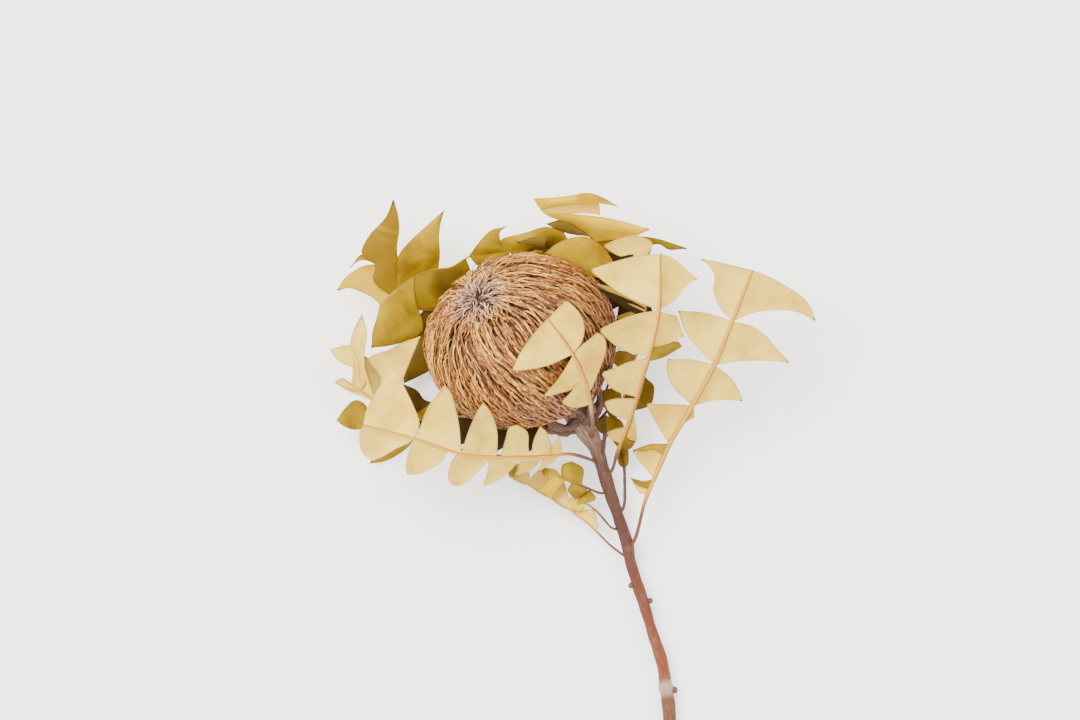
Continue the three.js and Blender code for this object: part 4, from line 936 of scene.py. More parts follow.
LEAVES = [
    Leaf(
        "leaf_right_outer", Face.UNDERSIDE, rib_radius=1.15, seed=3,
        rib=[(47.5, -97, 8), (51, -93.5, 10), (56.3, -74.5, 17), (60.4, -64.8, 20), (67.2, -49.4, 27),
             (77.8, -31.2, 36), (88, -12.4, 44), (96.3, 7.6, 52), (105.5, 31.2, 58)],
        lobes=[
            Lobe(7, 8, (81.9, 36.3, 66), [(90.6, 14), (87.9, 21.5), (88.6, 28), (86, 32.6)], [(94, 33.7)]),
            Lobe(7, 8, (134.6, 7.8, 50), [(108, 11.7), (117, 12.4), (126, 11.6)], [(112.7, 28.3),
                 (121.4, 23.4), (128.5, 18.6), (132.2, 14.5)]),
            Lobe(6, 7, (71.6, 12.4, 60), [(81.9, -6.6), (77, -1), (73.6, 5.3)], [(88.6, 9.9),
                 (79.6, 11.7)]),
            Lobe(6, 7, (122.6, -11.4, 42), [(101.7, -11.1), (112.7, -10.8)], [(104.9, 5.1), (111.6, 0.7),
                 (116.9, -5.4)]),
            Lobe(5, 6, (66.7, -9.7, 53), [(74.3, -28.2), (70, -24.2), (67.2, -18.6), (66.2, -13.6)],
                 [(77, -10.4)]),
            Lobe(5, 6, (100.9, -28.9, 34), [(90, -29)], [(95.2, -18.2), (98.8, -23.2)]),
            Lobe(4, 5, (56.8, -30.2, 44), [(63.3, -42.4), (59, -35.2)], [(67, -30.9)]),
            Lobe(4.5, 5, (78.6, -36.6, 33), 0.0, 0.1),
            Lobe(3, 4, (50.6, -52.2, 29), [(57, -61), (53.2, -56.6)], [(61, -50.6), (55.4, -51.4)]),
            Lobe(3.7, 4.05, (50.4, -51.8, 29.6), [(60, -51), (55, -51.6)], [(63.5, -48.5), (59, -48.3),
                 (54.6, -49.6)], flipped=True, shade=0.15),
            Lobe(2.3, 3, (49.7, -64.6, 22), [(54.6, -72), (51.6, -68.4)], [(56, -65.8)]),
            Lobe(2.5, 3, (49.4, -64.4, 22.6), [(55.5, -68.6), (52.6, -67.4)], [(56, -66), (52, -65)],
                 flipped=True, shade=0.35),
        ],
    ),
    Leaf(
        "leaf_right_inner", Face.UNDERSIDE, rib_radius=1.05, seed=4,
        rib=[(37, -63, 10), (40.4, -61.6, 12.5), (43.6, -52, 18), (47.4, -43, 24), (51.4, -31, 33),
             (54.9, -18.5, 42), (58, -8.6, 48), (62.6, 12.6, 57), (63.1, 38.6, 61)],
        lobes=[
            Lobe(7, 8, (30.5, 31.3, 70), [(50, 17.8), (43.2, 21.6), (36.8, 26.4)], [(53.2, 37.7),
                 (44.4, 35.4)]),
            Lobe(7, 8, (80.2, 27, 52), [(70.5, 17.8), (74.3, 22.6), (77.2, 25.4)], [(67.4, 37.5),
                 (72, 34.5), (76.4, 30.4)]),
            Lobe(6, 7, (35, 3.6, 72), [(48.8, -6.9), (43.2, -4), (38.8, -0.4)], [(53.2, 10.5),
                 (44.4, 7.6)]),
            Lobe(6, 7, (73.8, 0.8, 47), [(66.6, -3.6)], [(66.2, 10.9), (70.6, 9.9), (72.4, 5.6)]),
            Lobe(5.8, 6.2, (73, -3.8, 44), [(65.3, -8), (70, -5.6)], [(66, -2.5), (71, -1.4)], flipped=True,
                 shade=0.4),
            Lobe(4.3, 5.95, (36.2, -16.2, 64), [(43.6, -25.2), (39.2, -21)], [(44.6, -13.6)]),
            Lobe(3.4, 4.25, (37.3, -29.4, 48), [(40.9, -35.2)], [(43.4, -28.6)]),
            Lobe(2.4, 3.2, (38.4, -43.7, 29), [(41, -47.2)], [(43, -42.2)]),
            Lobe(2.5, 3.8, (52.2, -46.5, 24), [(48.6, -50.4)], [(51.6, -40)]),
            Lobe(2.4, 2.9, (51.8, -47.4, 24.8), [(47, -51.6), (50.5, -50)], [(48, -46)], flipped=True,
                 shade=0.35),
        ],
    ),
    Leaf(
        "leaf_over_head", Face.UNDERSIDE, rib_radius=1.0, petiole_radius=0.9, seed=5,
        rib=[(31, -47, 9), (31.8, -44, 18), (32, -40, 32), (31.4, -33.5, 50), (30, -24.5, 67),
             (27.4, -16.6, 78), (23.3, -8.2, 85), (18.6, -0.8, 88.5), (11.4, 8.6, 90)],
        lobes=[
            Lobe(6.1, 8, (-5.2, -15.2, 88.5), [(12.4, -12.3), (4.6, -14.3)], [(7.6, 5), (-0.2, -5.4)],
                 0.01),
            Lobe(6.1, 8, (20.3, 17.2, 87.5), [(27.2, -1.4), (28.2, 5), (26, 11.4)], [(16.2, 13.6)], 0.01),
            Lobe(4.7, 6.05, (9.4, -27, 83), [(23.6, -23.4), (17, -25.6)], [(17.2, -18.2)], 0.01),
            Lobe(3.9, 6.05, (34.6, 2.6, 87), [(34.6, -16.5), (37.9, -6.4), (37.8, -0.6)], [(28.5, -2.6)],
                 0.01),
            Lobe(3.4, 4.7, (17.9, -29.8, 79), 0.1, 0.05, 0.01, shade=0.15),
        ],
    ),
    Leaf(
        "leaf_low_left", Face.UNDERSIDE, rib_radius=0.85, seed=6, dark_tips=False,
        rib=[(35, -58.5, 9.5), (31, -55.8, 15), (21.6, -53.4, 26), (13.8, -54.2, 34), (4, -54.7, 40.5),
             (-4, -54.8, 45), (-14.4, -54.6, 50), (-28.5, -53.4, 55), (-50, -46.2, 58), (-73.6, -40, 57)],
        lobes=[
            Lobe(8, 9, (-60.2, -10, 61), [(-47.6, -39.6), (-50.6, -31), (-55.2, -21.6)], [(-72.4, -34),
                 (-69, -27.4), (-65.2, -20.8)]),
            Lobe(8, 9, (-69, -56.6, 51), [(-53, -48.6), (-58.8, -51.4), (-64.4, -54.6)], [(-75.4, -45),
                 (-74, -53)]),
            Lobe(8, 8.5, (-70.6, -57.8, 42), [(-52.6, -50.4), (-58.4, -54.8), (-65, -57.4)], [(-62, -50)],
                 -0.05, -0.05, flipped=True, shade=0.15),
            Lobe(7, 8, (-35.9, -21.7, 65), [(-29.2, -41.7), (-30.9, -32.9), (-33.2, -25.4)], [(-47.6, -42),
                 (-44, -32.9), (-39.6, -26.2)]),
            Lobe(7.3, 8, (-53.3, -62.6, 50), [(-37.4, -57), (-42, -60.4), (-48.6, -63)], [(-52.4, -52.4),
                 (-53.9, -58.6)]),
            Lobe(5.8, 7, (-18.2, -29.7, 73), [(-11.7, -43.7), (-14.5, -35)], [(-25.4, -44.5), (-21.2, -35)],
                 0.01),
            Lobe(6, 7.1, (-32.4, -67.8, 46), [(-19.9, -61.2), (-25.3, -66.2), (-29.5, -68.4)],
                 [(-33.4, -59), (-34.2, -65)]),
            Lobe(4.1, 5.6, (-2.8, -40, 58), [(2.6, -51), (2.2, -43.6)], [(-7.8, -47), (-6.2, -41.4)], 0.02),
            Lobe(4.6, 6.1, (-18.3, -68.4, 42), [(-5.6, -61.2), (-12.4, -66.4)], [(-15.8, -60),
                 (-17, -64.6)]),
            Lobe(3.1, 4, (8, -40.6, 49), [(13.4, -50), (11.8, -44.6)], [(5.2, -48.4)]),
            Lobe(3.4, 4.6, (-3.6, -63.4, 36), [(4.2, -60.8)], [(-1.6, -59)]),
            Lobe(2.5, 3.1, (16.6, -45, 43), 0.06, 0.05),
            Lobe(2.6, 3.4, (8, -61, 33), 0.1, 0.04),
        ],
    ),
    Leaf(
        "leaf_left_small", Face.UNDERSIDE, seed=7, rib_radius=0.5, dark_tips=False,
        rib=[(34.4, -57.6, 9.2), (30.6, -56, 11.5), (21.6, -53.6, 16), (-2, -54.8, 22), (-38, -48.8, 29),
             (-57.5, -38, 33), (-67.6, -29.6, 36), (-75, -23.8, 38), (-83, -18.4, 39)],
        lobes=[
            Lobe(6.05, 7.4, (-74.1, 10.9, 43), [(-70.4, -21), (-72.3, -15), (-72.8, -8), (-71.7, 2)],
                 [(-77.2, -14), (-78.6, -8), (-79.4, -3), (-77.6, 4.3)], 0.02),
            Lobe(6.9, 7.5, (-88.9, -5.4, 41), [(-76.4, -9), (-79.6, -3.3), (-84, -3.9)], [(-78.6, -13.4),
                 (-81.6, -12.4), (-84.8, -10.6)], 0.01),
            Lobe(7, 8, (-86.6, -20, 37), 0.1, 0.0),
            Lobe(6, 8, (-86.4, -20.2, 36.6), [(-74.7, -27), (-81.2, -24.4)], 0.02),
            Lobe(5, 6.3, (-47.2, 0.6, 40), [(-55, -28), (-55.4, -20.4), (-51.5, -9.7)], [(-67, -23.6),
                 (-65, -19.4), (-69.4, -12.6), (-71.2, -8.8), (-68.5, -7.6), (-61.6, -5.5), (-55.7, -2.3)],
                 0.01),
            # A small lobe painted brown: painted shade in the curl of the lobe above it
            Lobe(6.2, 7, (-73, -8.4, 37.6), [(-66.4, -23), (-64.4, -18.6), (-68.4, -11)], [(-72.6, -20),
                 (-74.2, -13.6)], 0.01, shade=0.55),
        ],
    ),
    Leaf(
        "leaf_left_low", Face.UPPER, seed=8, shade=0.08,
        rib=[(27.5, -40, 11.5), (20, -40.5, 9), (-1.4, -38.5, 8.5), (-29, -36, 9), (-52, -38, 11),
             (-64, -38, 13), (-72, -34, 14)],
        lobes=[
            Lobe(5, 5.85, (-85.6, -37.7, 13), [(-70, -41), (-78, -41.8), (-83, -40)], [(-73, -30),
                 (-77.4, -28.4), (-82.6, -33)]),
            Lobe(4, 5, (-70, -57.5, 5), 0.1, 0.1, shade=0.3),
            Lobe(4, 5, (-56, -19, 15), 0.06, 0.06, shade=0.3),
            Lobe(3, 4, (-38, -27.5, 13), 0.1, 0.06, shade=0.2),
            # The three lobes down by the floor are painted near black: painted shade in the gaps under the
            # head
            Lobe(2.9, 3.9, (-35, -51, 2), [(-24, -46)], [(-44, -46)], shade=0.96),
            Lobe(2.1, 2.9, (-14, -53, 2), [(-4, -46)], [(-26, -47)], shade=0.97),
            Lobe(1.3, 2.1, (2, -53, 2), [(10, -46)], [(-6, -47)], shade=0.97),
        ],
    ),
    Leaf(
        "leaf_upper_left", Face.UPPER, seed=9, rib_radius=0.4,
        rib=[(27, -38, 10.5), (34, -24, 7), (36, -4, 6), (31, 18, 6), (17, 33, 7), (0, 39.5, 9),
             (-14, 40.5, 13), (-24.4, 37.6, 17), (-33, 32.6, 18.5), (-41.5, 31.4, 20), (-50, 28.4, 22),
             (-58.3, 22.5, 24), (-65.8, 15.6, 25)],
        lobes=[
            Lobe(10.3, 12, (-85.4, 21.6, 22), [(-66, 33.4), (-73, 33.2), (-80, 29.2), (-83.2, 26)],
                 [(-70.1, 19.1), (-75.1, 21.4), (-80, 22.9)], 0.01, tint=0.3),
            Lobe(10.6, 11.4, (-59.7, 63.7, 29), [(-58.2, 40.3), (-57.2, 50), (-58, 58)], [(-69.4, 26.6),
                 (-68, 34), (-74.6, 38.4), (-71.5, 46.6), (-63.2, 56)], 0.03, tint=-0.3),
            Lobe(10.8, 11.3, (-79.6, 32.2, 27), [(-66, 35), (-74, 38.6)], [(-67, 33), (-74.4, 35.8)], 0.01),
            Lobe(8.7, 11, (-36.3, 58.4, 27), [(-38.6, 38), (-39, 46.1), (-38.2, 52.1)], [(-57.8, 38),
                 (-54.1, 43.2), (-43.4, 52.6)], 0.03),
            Lobe(10, 12, (-69.9, -4.4, 19), [(-49.9, 17.5), (-46.6, 8), (-46.4, 3.6), (-53, -0.9),
                 (-61.2, -3.2)], [(-67.8, 9.2), (-69.4, 3.2)], 0.03),
            # Painted shade darkens this lobe, most where it lies against the head
            Lobe(7.2, 10, (-49.4, 12.8, 13), [(-24, 27), (-36, 13.6)], [(-50.4, 20)], 0.03, shade=0.35,
                 shade_patch=(-31, 24, 13)),
        ],
    ),
    # This leaf lies beside the head in its shadow, so it is painted dark: painted shade
    Leaf(
        "leaf_left_back", Face.UPPER, seed=10, shade=0.8,
        rib=[(23, -36, 12), (10, -37, 6), (-12, -35, 5), (-28, -25, 5.5), (-36, -10, 6.5), (-40, 5, 7.5),
             (-39, 17, 8.5)],
        lobes=[
            Lobe(4, 5, (-54.7, -20.7, 6), 0.04, [(-49, 4), (-55, -8)]),
            Lobe(2.3, 3, (-55.4, -21, 4.6), [(-30, -37), (-44, -38), (-52, -32)], [(-34, -29), (-45, -28.4),
                 (-48.6, -24)]),
            Lobe(5, 6, (-53, 2, 8), 0.08, 0.1),
        ],
    ),
    Leaf(
        "leaf_top", Face.UPPER, seed=11, shade=0.05, rib_radius=0.45,
        rib=[(30, -40, 11), (39, -22, 10.8), (41.5, 0, 10.2), (37.5, 20, 10.6), (27, 34, 13.2),
             (11, 39.5, 18), (-6, 39.5, 19), (-24.8, 37.8, 21)],
        lobes=[
            Lobe(5.9, 7, (-7.6, 51.3, 25), [(-9.4, 43), (-10.7, 48.8)], [(-20.2, 44.3), (-14.9, 49.6)],
                 0.02),
            Lobe(4.5, 6.2, (18.9, 48.8, 24), [(22, 42)], [(-10.4, 45), (0.5, 48.4), (10.9, 51.4)], 0.02,
                 shade_patch=(13, 40, 9)),
            Lobe(4.6, 5.6, (-3, 44, 26), [(8, 42.2)], [(11, 47), (4, 46.4)], 0.02, shade=0.6),
            Lobe(6, 7, (-13, 29, 10), 0.08, 0.06),
            Lobe(5, 6, (5, 31, 8), 0.08, 0.06),
        ],
    ),
    Leaf(
        "leaf_top_right", Face.UPPER, tone=Tone.YELLOW, seed=12, rib_radius=0.4,
        rib=[(31, -42, 12), (42.5, -28, 11), (47, -8, 12), (45.5, 14, 14), (41.4, 34.5, 20),
             (33.6, 44.6, 27), (22.5, 52.4, 33), (10.2, 57.2, 38), (5, 64, 44)],
        lobes=[
            Lobe(4, 5, (9.6, 38.8, 33), [(35, 28), (27, 31), (17.4, 35.6)], [(30.4, 46.4), (23.9, 46.7),
                 (15.6, 44)], 0.03, shade=0.4),
            Lobe(5.04, 5.93, (10.8, 52.7, 27), [(30, 47), (21.2, 48.2), (13.6, 51)], [(19, 54.6)], 0.02,
                 shade=0.75),
            Lobe(5, 7, (58.2, 49.8, 38), [(41.9, 46), (50.6, 46.8)], [(18.7, 57.8), (35.4, 56.2),
                 (47.2, 53.4)], 0.02),
            Lobe(6.8, 7.4, (35.6, 56.8, 39), [(24, 57)], [(20, 61.2), (34, 62)], 0.01, flipped=True),
            Lobe(7.3, 8, (43.3, 60.7, 46), [(14, 60.9), (29, 62.2), (35.5, 62.4)], [(14, 64.6), (22, 65.6),
                 (30.4, 67.2), (37, 64.9)], 0.01),
            Lobe(4.4, 5, (75.4, 41, 30), [(54, 42), (62.6, 43.4), (67, 40.6)], [(46, 47.6), (60.2, 46.2),
                 (69, 43.3)], 0.01, shade=0.75),
            # The last three lobes are painted near black: painted shade filling the dark gap beside the head,
            # under the leaves
            Lobe(3.05, 4.4, (29, 26, 15), [(36, 12)], [(33, 38)], 0.0, shade=0.98),
            Lobe(3.8, 4.9, (53, 35, 17), [(48, 29)], [(46, 43)], 0.0, shade=0.98),
            Lobe(2.9, 4.2, (59.5, 11.6, 19), [(43, 5.6), (49, 8.6), (55, 10.4)], [(47, 37), (57, 22)], 0.02,
                 shade=0.98),
        ],
    ),
    Leaf(
        "leaf_right_back", Face.UNDERSIDE, seed=13, rib_radius=0.5,
        rib=[(34.5, -50, 8.5), (40.5, -42, 11), (46, -28, 17), (52, -8, 25), (56, 12, 33), (58, 29, 39),
             (57.4, 39, 42)],
        lobes=[
            Lobe(5, 6, (36.6, 42.4, 47), [(51, 38.2), (44.6, 37.5)], [(59.6, 43.4), (52.3, 47),
                 (44.6, 45.6)], 0.02),
            Lobe(4, 4.3, (33, 25.2, 57), 0.02, 0.02, 0.01, shade=0.25),
            # Painted near black: painted shade behind the pale strip beside the head
            Lobe(3.85, 4.1, (34.4, 22.8, 56), 0.02, 0.02, 0.01, shade=0.97),
            Lobe(3, 4, (43, 10, 24), 0.08, 0.06, shade=0.3),
            Lobe(3, 4, (68, -1.5, 28), 0.04, 0.1, shade=0.3),
            Lobe(2.3, 3, (39, -9.8, 20), [(43, -13)], [(44, -6)], 0.02, shade=0.5),
            Lobe(1.7, 2.9, (60.4, -25, 18), [(52, -33), (58.6, -30.6)], [(56.5, -18), (60, -21.5)], 0.02,
                 flipped=True, shade=0.6),
            Lobe(1.2, 1.9, (36.5, -24, 22), [(38, -33), (36, -27)], [(44, -23)], 0.02, flipped=True,
                 shade=0.55),
        ],
    ),
    Leaf(
        "leaf_rolled", Face.UPPER, seed=14, shade=0.5, rib_radius=0.75, petiole_radius=0.8, foot=0.85,
        rib=[(43.5, -82, 8.6), (46.4, -77.3, 9), (46.8, -68.5, 8.5), (46.6, -60, 7.5), (45.5, -51, 6.5),
             (43.7, -42.3, 5)],
        lobes=[
            Lobe(3, 4, (48.4, -50, 8), [(48.4, -58)], 0.05, arch=0.3),
            Lobe(3, 4, (44.4, -51, 6), [(44.2, -58)], 0.05, arch=0.3),
            Lobe(4, 5, (40, -44, 4), 0.12, 0.12),
            Lobe(4, 5, (52, -44, 6), 0.12, 0.12),
        ],
    ),
    Leaf(
        "leaf_spike", Face.UPPER, seed=15, shade=0.2, rib_radius=0.9, petiole_radius=0.9, foot=1.3,
        rib=[(36, -57.5, 9.4), (37, -52, 13), (37.6, -44, 16), (37.8, -34.5, 19)],
        lobes=[
            Lobe(2, 2.9, (47.3, -41.8, 18), [(42, -44.4)], [(41, -36.6), (44.6, -37.4)], shade=0.25),
            Lobe(2, 2.9, (33.2, -40, 19), [(35.6, -43.6)], [(35.6, -37)], shade=0.7),
        ],
    ),
    Leaf(
        "leaf_curled_small", Face.UPPER, tone=Tone.YELLOW, seed=16, shade=0.2, rib_radius=0.6, foot=0.75,
        rib=[(39.8, -71, 9.2), (35.4, -71.3, 13), (30.8, -69.5, 16), (26.2, -67.6, 18), (19.8, -65.3, 20),
             (13.8, -62.6, 21)],
        lobes=[
            Lobe(2.8, 4.2, (22.4, -56.8, 22), [(27.2, -66), (27.6, -60)], [(17.6, -63), (18, -58.4)],
                 arch=0.2, shade=0.6, shade_patch=(24.4, -59.4, 6)),
            Lobe(2.6, 3.6, (24.4, -74, 15), [(29.4, -70)], [(20.6, -70)], arch=0.3, shade=0.6,
                 shade_patch=(24.4, -72, 5)),
            Lobe(4, 5, (9.6, -72.4, 17), [(15.6, -70), (13.4, -73.4)], [(10.4, -66), (7.8, -69.6)],
                 arch=0.2, shade=0.12, shade_patch=(8.6, -73, 3)),
            Lobe(4.2, 5, (8, -59.6, 22), [(15, -60.6)], [(10, -63.4)], shade=0.5, shade_patch=(9, -60, 4)),
        ],
    ),
    Leaf(
        "leaf_curled_lower", Face.UPPER, tone=Tone.YELLOW, seed=18, shade=0.2, rib_radius=0.5, foot=0.75,
        rib=[(45, -88, 8.4), (41, -87.4, 10.6), (34.2, -80, 13.9), (28.4, -76, 14.6), (24.6, -77, 13.8)],
        lobes=[
            Lobe(3, 4, (30.6, -69.8, 14.3), [(33.6, -74)], [(26.4, -73.4)], arch=0.2, shade=0.6,
                 shade_patch=(30.4, -71, 5)),
            Lobe(3, 4, (23.6, -79.8, 13.3), [(28, -78.6)], [(22.4, -76.6)], arch=0.2, shade=0.12,
                 shade_patch=(22.6, -80.4, 3)),
        ],
    ),
    Leaf(
        "leaf_lowest", Face.UNDERSIDE, seed=17, rib_radius=0.45, petiole_radius=0.6, foot=0.36,
        rib=[(49, -102, 7.7), (40, -95.2, 9), (35, -90.2, 10), (28.5, -84.2, 11), (21.6, -79.1, 11.5),
             (12.4, -73.3, 12), (3.2, -68, 12.5), (-6.9, -63.2, 13)],
        lobes=[
            Lobe(2, 3.2, (32.4, -78.7, 12.5), 0.02, [(26.6, -80)]),
            Lobe(3.2, 4.2, (26, -70, 12.5), 0.05, 0.1),
            Lobe(4.1, 5.1, (18, -64, 12), 0.08, 0.16),
            Lobe(5, 6, (10.4, -58.8, 12), 0.08, 0.16),
            Lobe(6, 7, (1, -57.2, 12), 0.08, 0.2, shade=0.12, shade_patch=(-4.4, -61, 3.6)),
            Lobe(3, 4, (25.5, -80.5, 0.6), 0.06, 0.06, shade=0.3),
            Lobe(4, 5, (17, -75, 0.6), 0.06, 0.06, shade=0.3),
            Lobe(5, 6, (7.8, -69.5, 0.6), 0.06, 0.06, shade=0.3),
            Lobe(6, 7, (-2, -64, 0.8), 0.06, 0.06, shade=0.3),
        ],
    ),
]


# Flower head


@dataclass(frozen=True)
class Layer:
    """One layer of styles: how many, from where to where, and how they lie.

    polar is where they root, by angle from the pole, and lift how high they lie over the core.
    wave is how far they sway, loose how far their tips stand off, swirl how far they lean to one
    side, and root how high or deep their roots sit.
    """

    name: str
    count: int
    polar: tuple[float, float]
    length: float
    width: float
    lift: tuple[float, float]
    tone: tuple[float, float]
    wave: float = 0.2
    rings: int = 13
    sides: int = 5
    loose: float = 0.0
    swirl: float = 0.0
    root: float = -2.6


@dataclass
class FlowerHead:
    """The dome of styles on its woody core, tilted towards the eye.

    Styles lie away from the pole, and turn to the neck from the angle turn_from on. Locks of
    them lean to a side by up to lock_lean, in waves round the head that wind on their way down.
    Each style rises out of the core over root_share of its length, then narrows at its tip. It
    lies under the others up to the height buried_at, and wholly out by out_over more; that depth
    among them sets its painted shade. Each loop at the crown has an angle from the pole, an angle
    round it and a radius. Its heights are those of its middle, of the place ahead of it and of the
    place above it.
    """

    across: float = 43.0
    along: float = 38.0
    centre: Point = (-0.6, -1.2, 40)
    axis: Point = (-0.52, 0.54, 0.66)
    squash: Point = (0.965, 0.885, 1)
    neck: Point = (0.6, -0.77, -0.24)
    turn_from: float = 0.15
    turn_over: float = 0.8
    lock_lean: float = 0.16
    locks_round: int = 4
    locks_wind: int = 3
    narrows_at: float = 0.6
    tip_narrowing: float = 0.75
    root_share: float = 0.3
    flatness: float = 0.7
    swing: tuple[float, float] = (0.4, 1.0)
    waves: tuple[float, float] = (0.8, 1.8)
    lean_spread: float = 0.06
    swirl_spread: float = 1.2
    locks_from: float = 0.6
    order_spread: float = 0.012
    turn_spread: float = 0.06
    length_spread: tuple[float, float] = (0.75, 1.25)
    width_spread: tuple[float, float] = (0.75, 1.2)
    ripple: float = 0.3
    ripple_pace: tuple[float, float] = (6, 14)
    tip_lift: tuple[float, float] = (-1.1, 0.5)
    buried_at: float = -0.6
    out_over: float = 3.4
    core_lumps: float = 0.5
    core_sink: float = 0.6
    lowest: float = 0.35
    seed: int = 21
    layers: Sequence[Layer] = (
        Layer("styles_under", 1500, (0.05, 2.75), 17, 1.6, (-0.8, 0.7), (0.0, 0.4), 0.12, 9, 4),
        Layer("styles_middle", 1500, (0.06, 2.7), 19, 1.15, (0.5, 2.0), (0.05, 0.8), 0.16, 12, 5),
        Layer("styles_outer", 1400, (0.14, 2.6), 20, 0.95, (1.5, 3.3), (0.35, 1.0), 0.2, 13, 5),
        Layer("styles_whorl", 260, (0.0, 0.34), 10, 0.6, (2.0, 3.6), (0.3, 1.0), 0.5, 12, 5, 0.0, 0.2, 1.4),
        Layer("styles_stray", 260, (0.25, 2.4), 15, 0.6, (2.6, 4.4), (0.6, 1.0), 0.3, 13, 4, 2.2),
    )
    loop_places: Sequence[Point] = ((0.03, 3.9, 1.5), (0.09, 5.4, 1.3), (0.1, 2.2, 1.1), (0.13, 4.2, 1.2))
    loop_heights: Point = (4.2, 3.6, 5.6)
    loop_stretch: float = 1.5
    loop_rise: tuple[float, float] = (-1.6, 0.8)
    loop_radius: tuple[float, float] = (0.62, 0.4)
    loop_steps: int = 26
    loop_sides: int = 8

    def basis(self) -> tuple[np.ndarray, np.ndarray, np.ndarray]:
        """Finds the head's own directions.

        Returns:
            Directions across the head, across it again, and along its axis.
        """
        axis = unit_of(np.array(self.axis))
        side = unit_of(np.cross(axis, (0, 0, 1)))
        return side, np.cross(side, axis), axis

    def place(self, polar: np.ndarray, turn: np.ndarray, height: np.ndarray) -> np.ndarray:
        """Places over the head.

        Args:
            polar: angles from the pole.
            turn: angles round the axis.
            height: millimetres above the core.

        Returns:
            Three millimetres for each.
        """
        side, up, axis = self.basis()
        across = (self.across + height) * np.sin(polar)
        along = (self.along + height) * np.cos(polar)
        flat = along[..., None] * axis + (across * np.cos(turn))[..., None] * side
        flat += (across * np.sin(turn))[..., None] * up
        places = flat * np.array(self.squash) + np.array(self.centre)
        places[..., 2] = np.maximum(places[..., 2], self.lowest)
        return places

    def style_width(self, share: float) -> float:
        """Width of a style at a share of its length: full, then narrowing to its tip."""
        return 1 - self.tip_narrowing * (max(share - self.narrows_at, 0) / (1 - self.narrows_at)) ** 1.5

    def one_style(self, layer: Layer) -> tuple[np.ndarray, list[tuple[int, ...]]]:
        """Models one straight style by extruding a disc and narrowing it towards its tip.

        Args:
            layer: the layer it is for.

        Returns:
            Its points, with the share of its length in the third number, and its faces.
        """
        deselect()
        bpy.ops.mesh.primitive_circle_add(vertices=layer.sides, radius=1, fill_type="NGON")
        obj = bpy.context.object
        bpy.ops.object.mode_set(mode="EDIT")
        step = 1 / (layer.rings - 1)
        for ring in range(1, layer.rings):
            share = ring * step
            thinner = self.style_width(share) / self.style_width(share - step)
            bpy.ops.mesh.extrude_region_move(TRANSFORM_OT_translate={"value": (0, 0, step)})
            bpy.ops.transform.resize(value=(thinner, thinner, 1))
        bpy.ops.mesh.select_all(action="SELECT")
        bpy.ops.mesh.normals_make_consistent(inside=False)
        bpy.ops.object.mode_set(mode="OBJECT")
        points = points_of(obj)
        faces = [tuple(p.vertices) for p in obj.data.polygons]
        bpy.data.objects.remove(obj)
        return points, faces

    def flow(self, layer: Layer, polar: np.ndarray, turn: np.ndarray, length: np.ndarray,
             random: np.random.Generator) -> tuple[np.ndarray, np.ndarray]:
        """Follows each style over the head, away from the crown and more and more to the neck.

        Args:
            layer: how the styles lie.
            polar: angles of their roots from the pole.
            turn: angles of their roots round the axis.
            length: their lengths.
            random: the draw.

        Returns:
            Angles from the pole and round the axis, a row for each style.
        """
        count = layer.count
        neck = unit_of(np.array([np.dot(self.neck, way) for way in self.basis()]))
        unit = np.stack([np.sin(polar) * np.cos(turn), np.sin(polar) * np.sin(turn), np.cos(polar)], axis=-1)
        swing = random.uniform(*self.swing, count) * layer.wave
        pace = random.uniform(*self.waves, count) * 2 * math.pi
        start = random.uniform(0, 2 * math.pi, count)
        spread = self.lean_spread + self.swirl_spread * abs(layer.swirl)
        lean = random.normal(0, spread, count) + layer.swirl
        stride = (length / (layer.rings - 1) / self.across)[:, None]
        path = [unit]
        for ring in range(1, layer.rings):
            away = unit * unit[:, 2:] - np.array((0, 0, 1))
            away /= np.maximum(np.linalg.norm(away, axis=1), 0.05)[:, None]
            home = neck - unit * (unit @ neck)[:, None]
            home /= np.maximum(np.linalg.norm(home, axis=1), 0.15)[:, None]
            angle = np.arccos(np.clip(unit[:, 2], -1, 1))
            pull = np.clip((angle - self.turn_from) / self.turn_over, 0, 1)[:, None]
            ahead = away * (1 - pull) + home * pull
            ahead /= np.maximum(np.linalg.norm(ahead, axis=1), 1e-6)[:, None]
            wave = self.locks_round * np.arctan2(unit[:, 1], unit[:, 0]) + self.locks_wind * angle
            lock = self.lock_lean * np.sin(wave) * np.clip(angle / self.locks_from, 0, 1)
            off = lean + lock + swing * np.sin(pace * ring / (layer.rings - 1) + start)
            ahead = ahead * np.cos(off)[:, None] + np.cross(unit, ahead) * np.sin(off)[:, None]
            unit = unit + ahead * stride
            unit /= np.linalg.norm(unit, axis=1)[:, None]
            path.append(unit)
        path = np.stack(path, axis=1)
        return np.arccos(np.clip(path[..., 2], -1, 1)), np.arctan2(path[..., 1], path[..., 0])

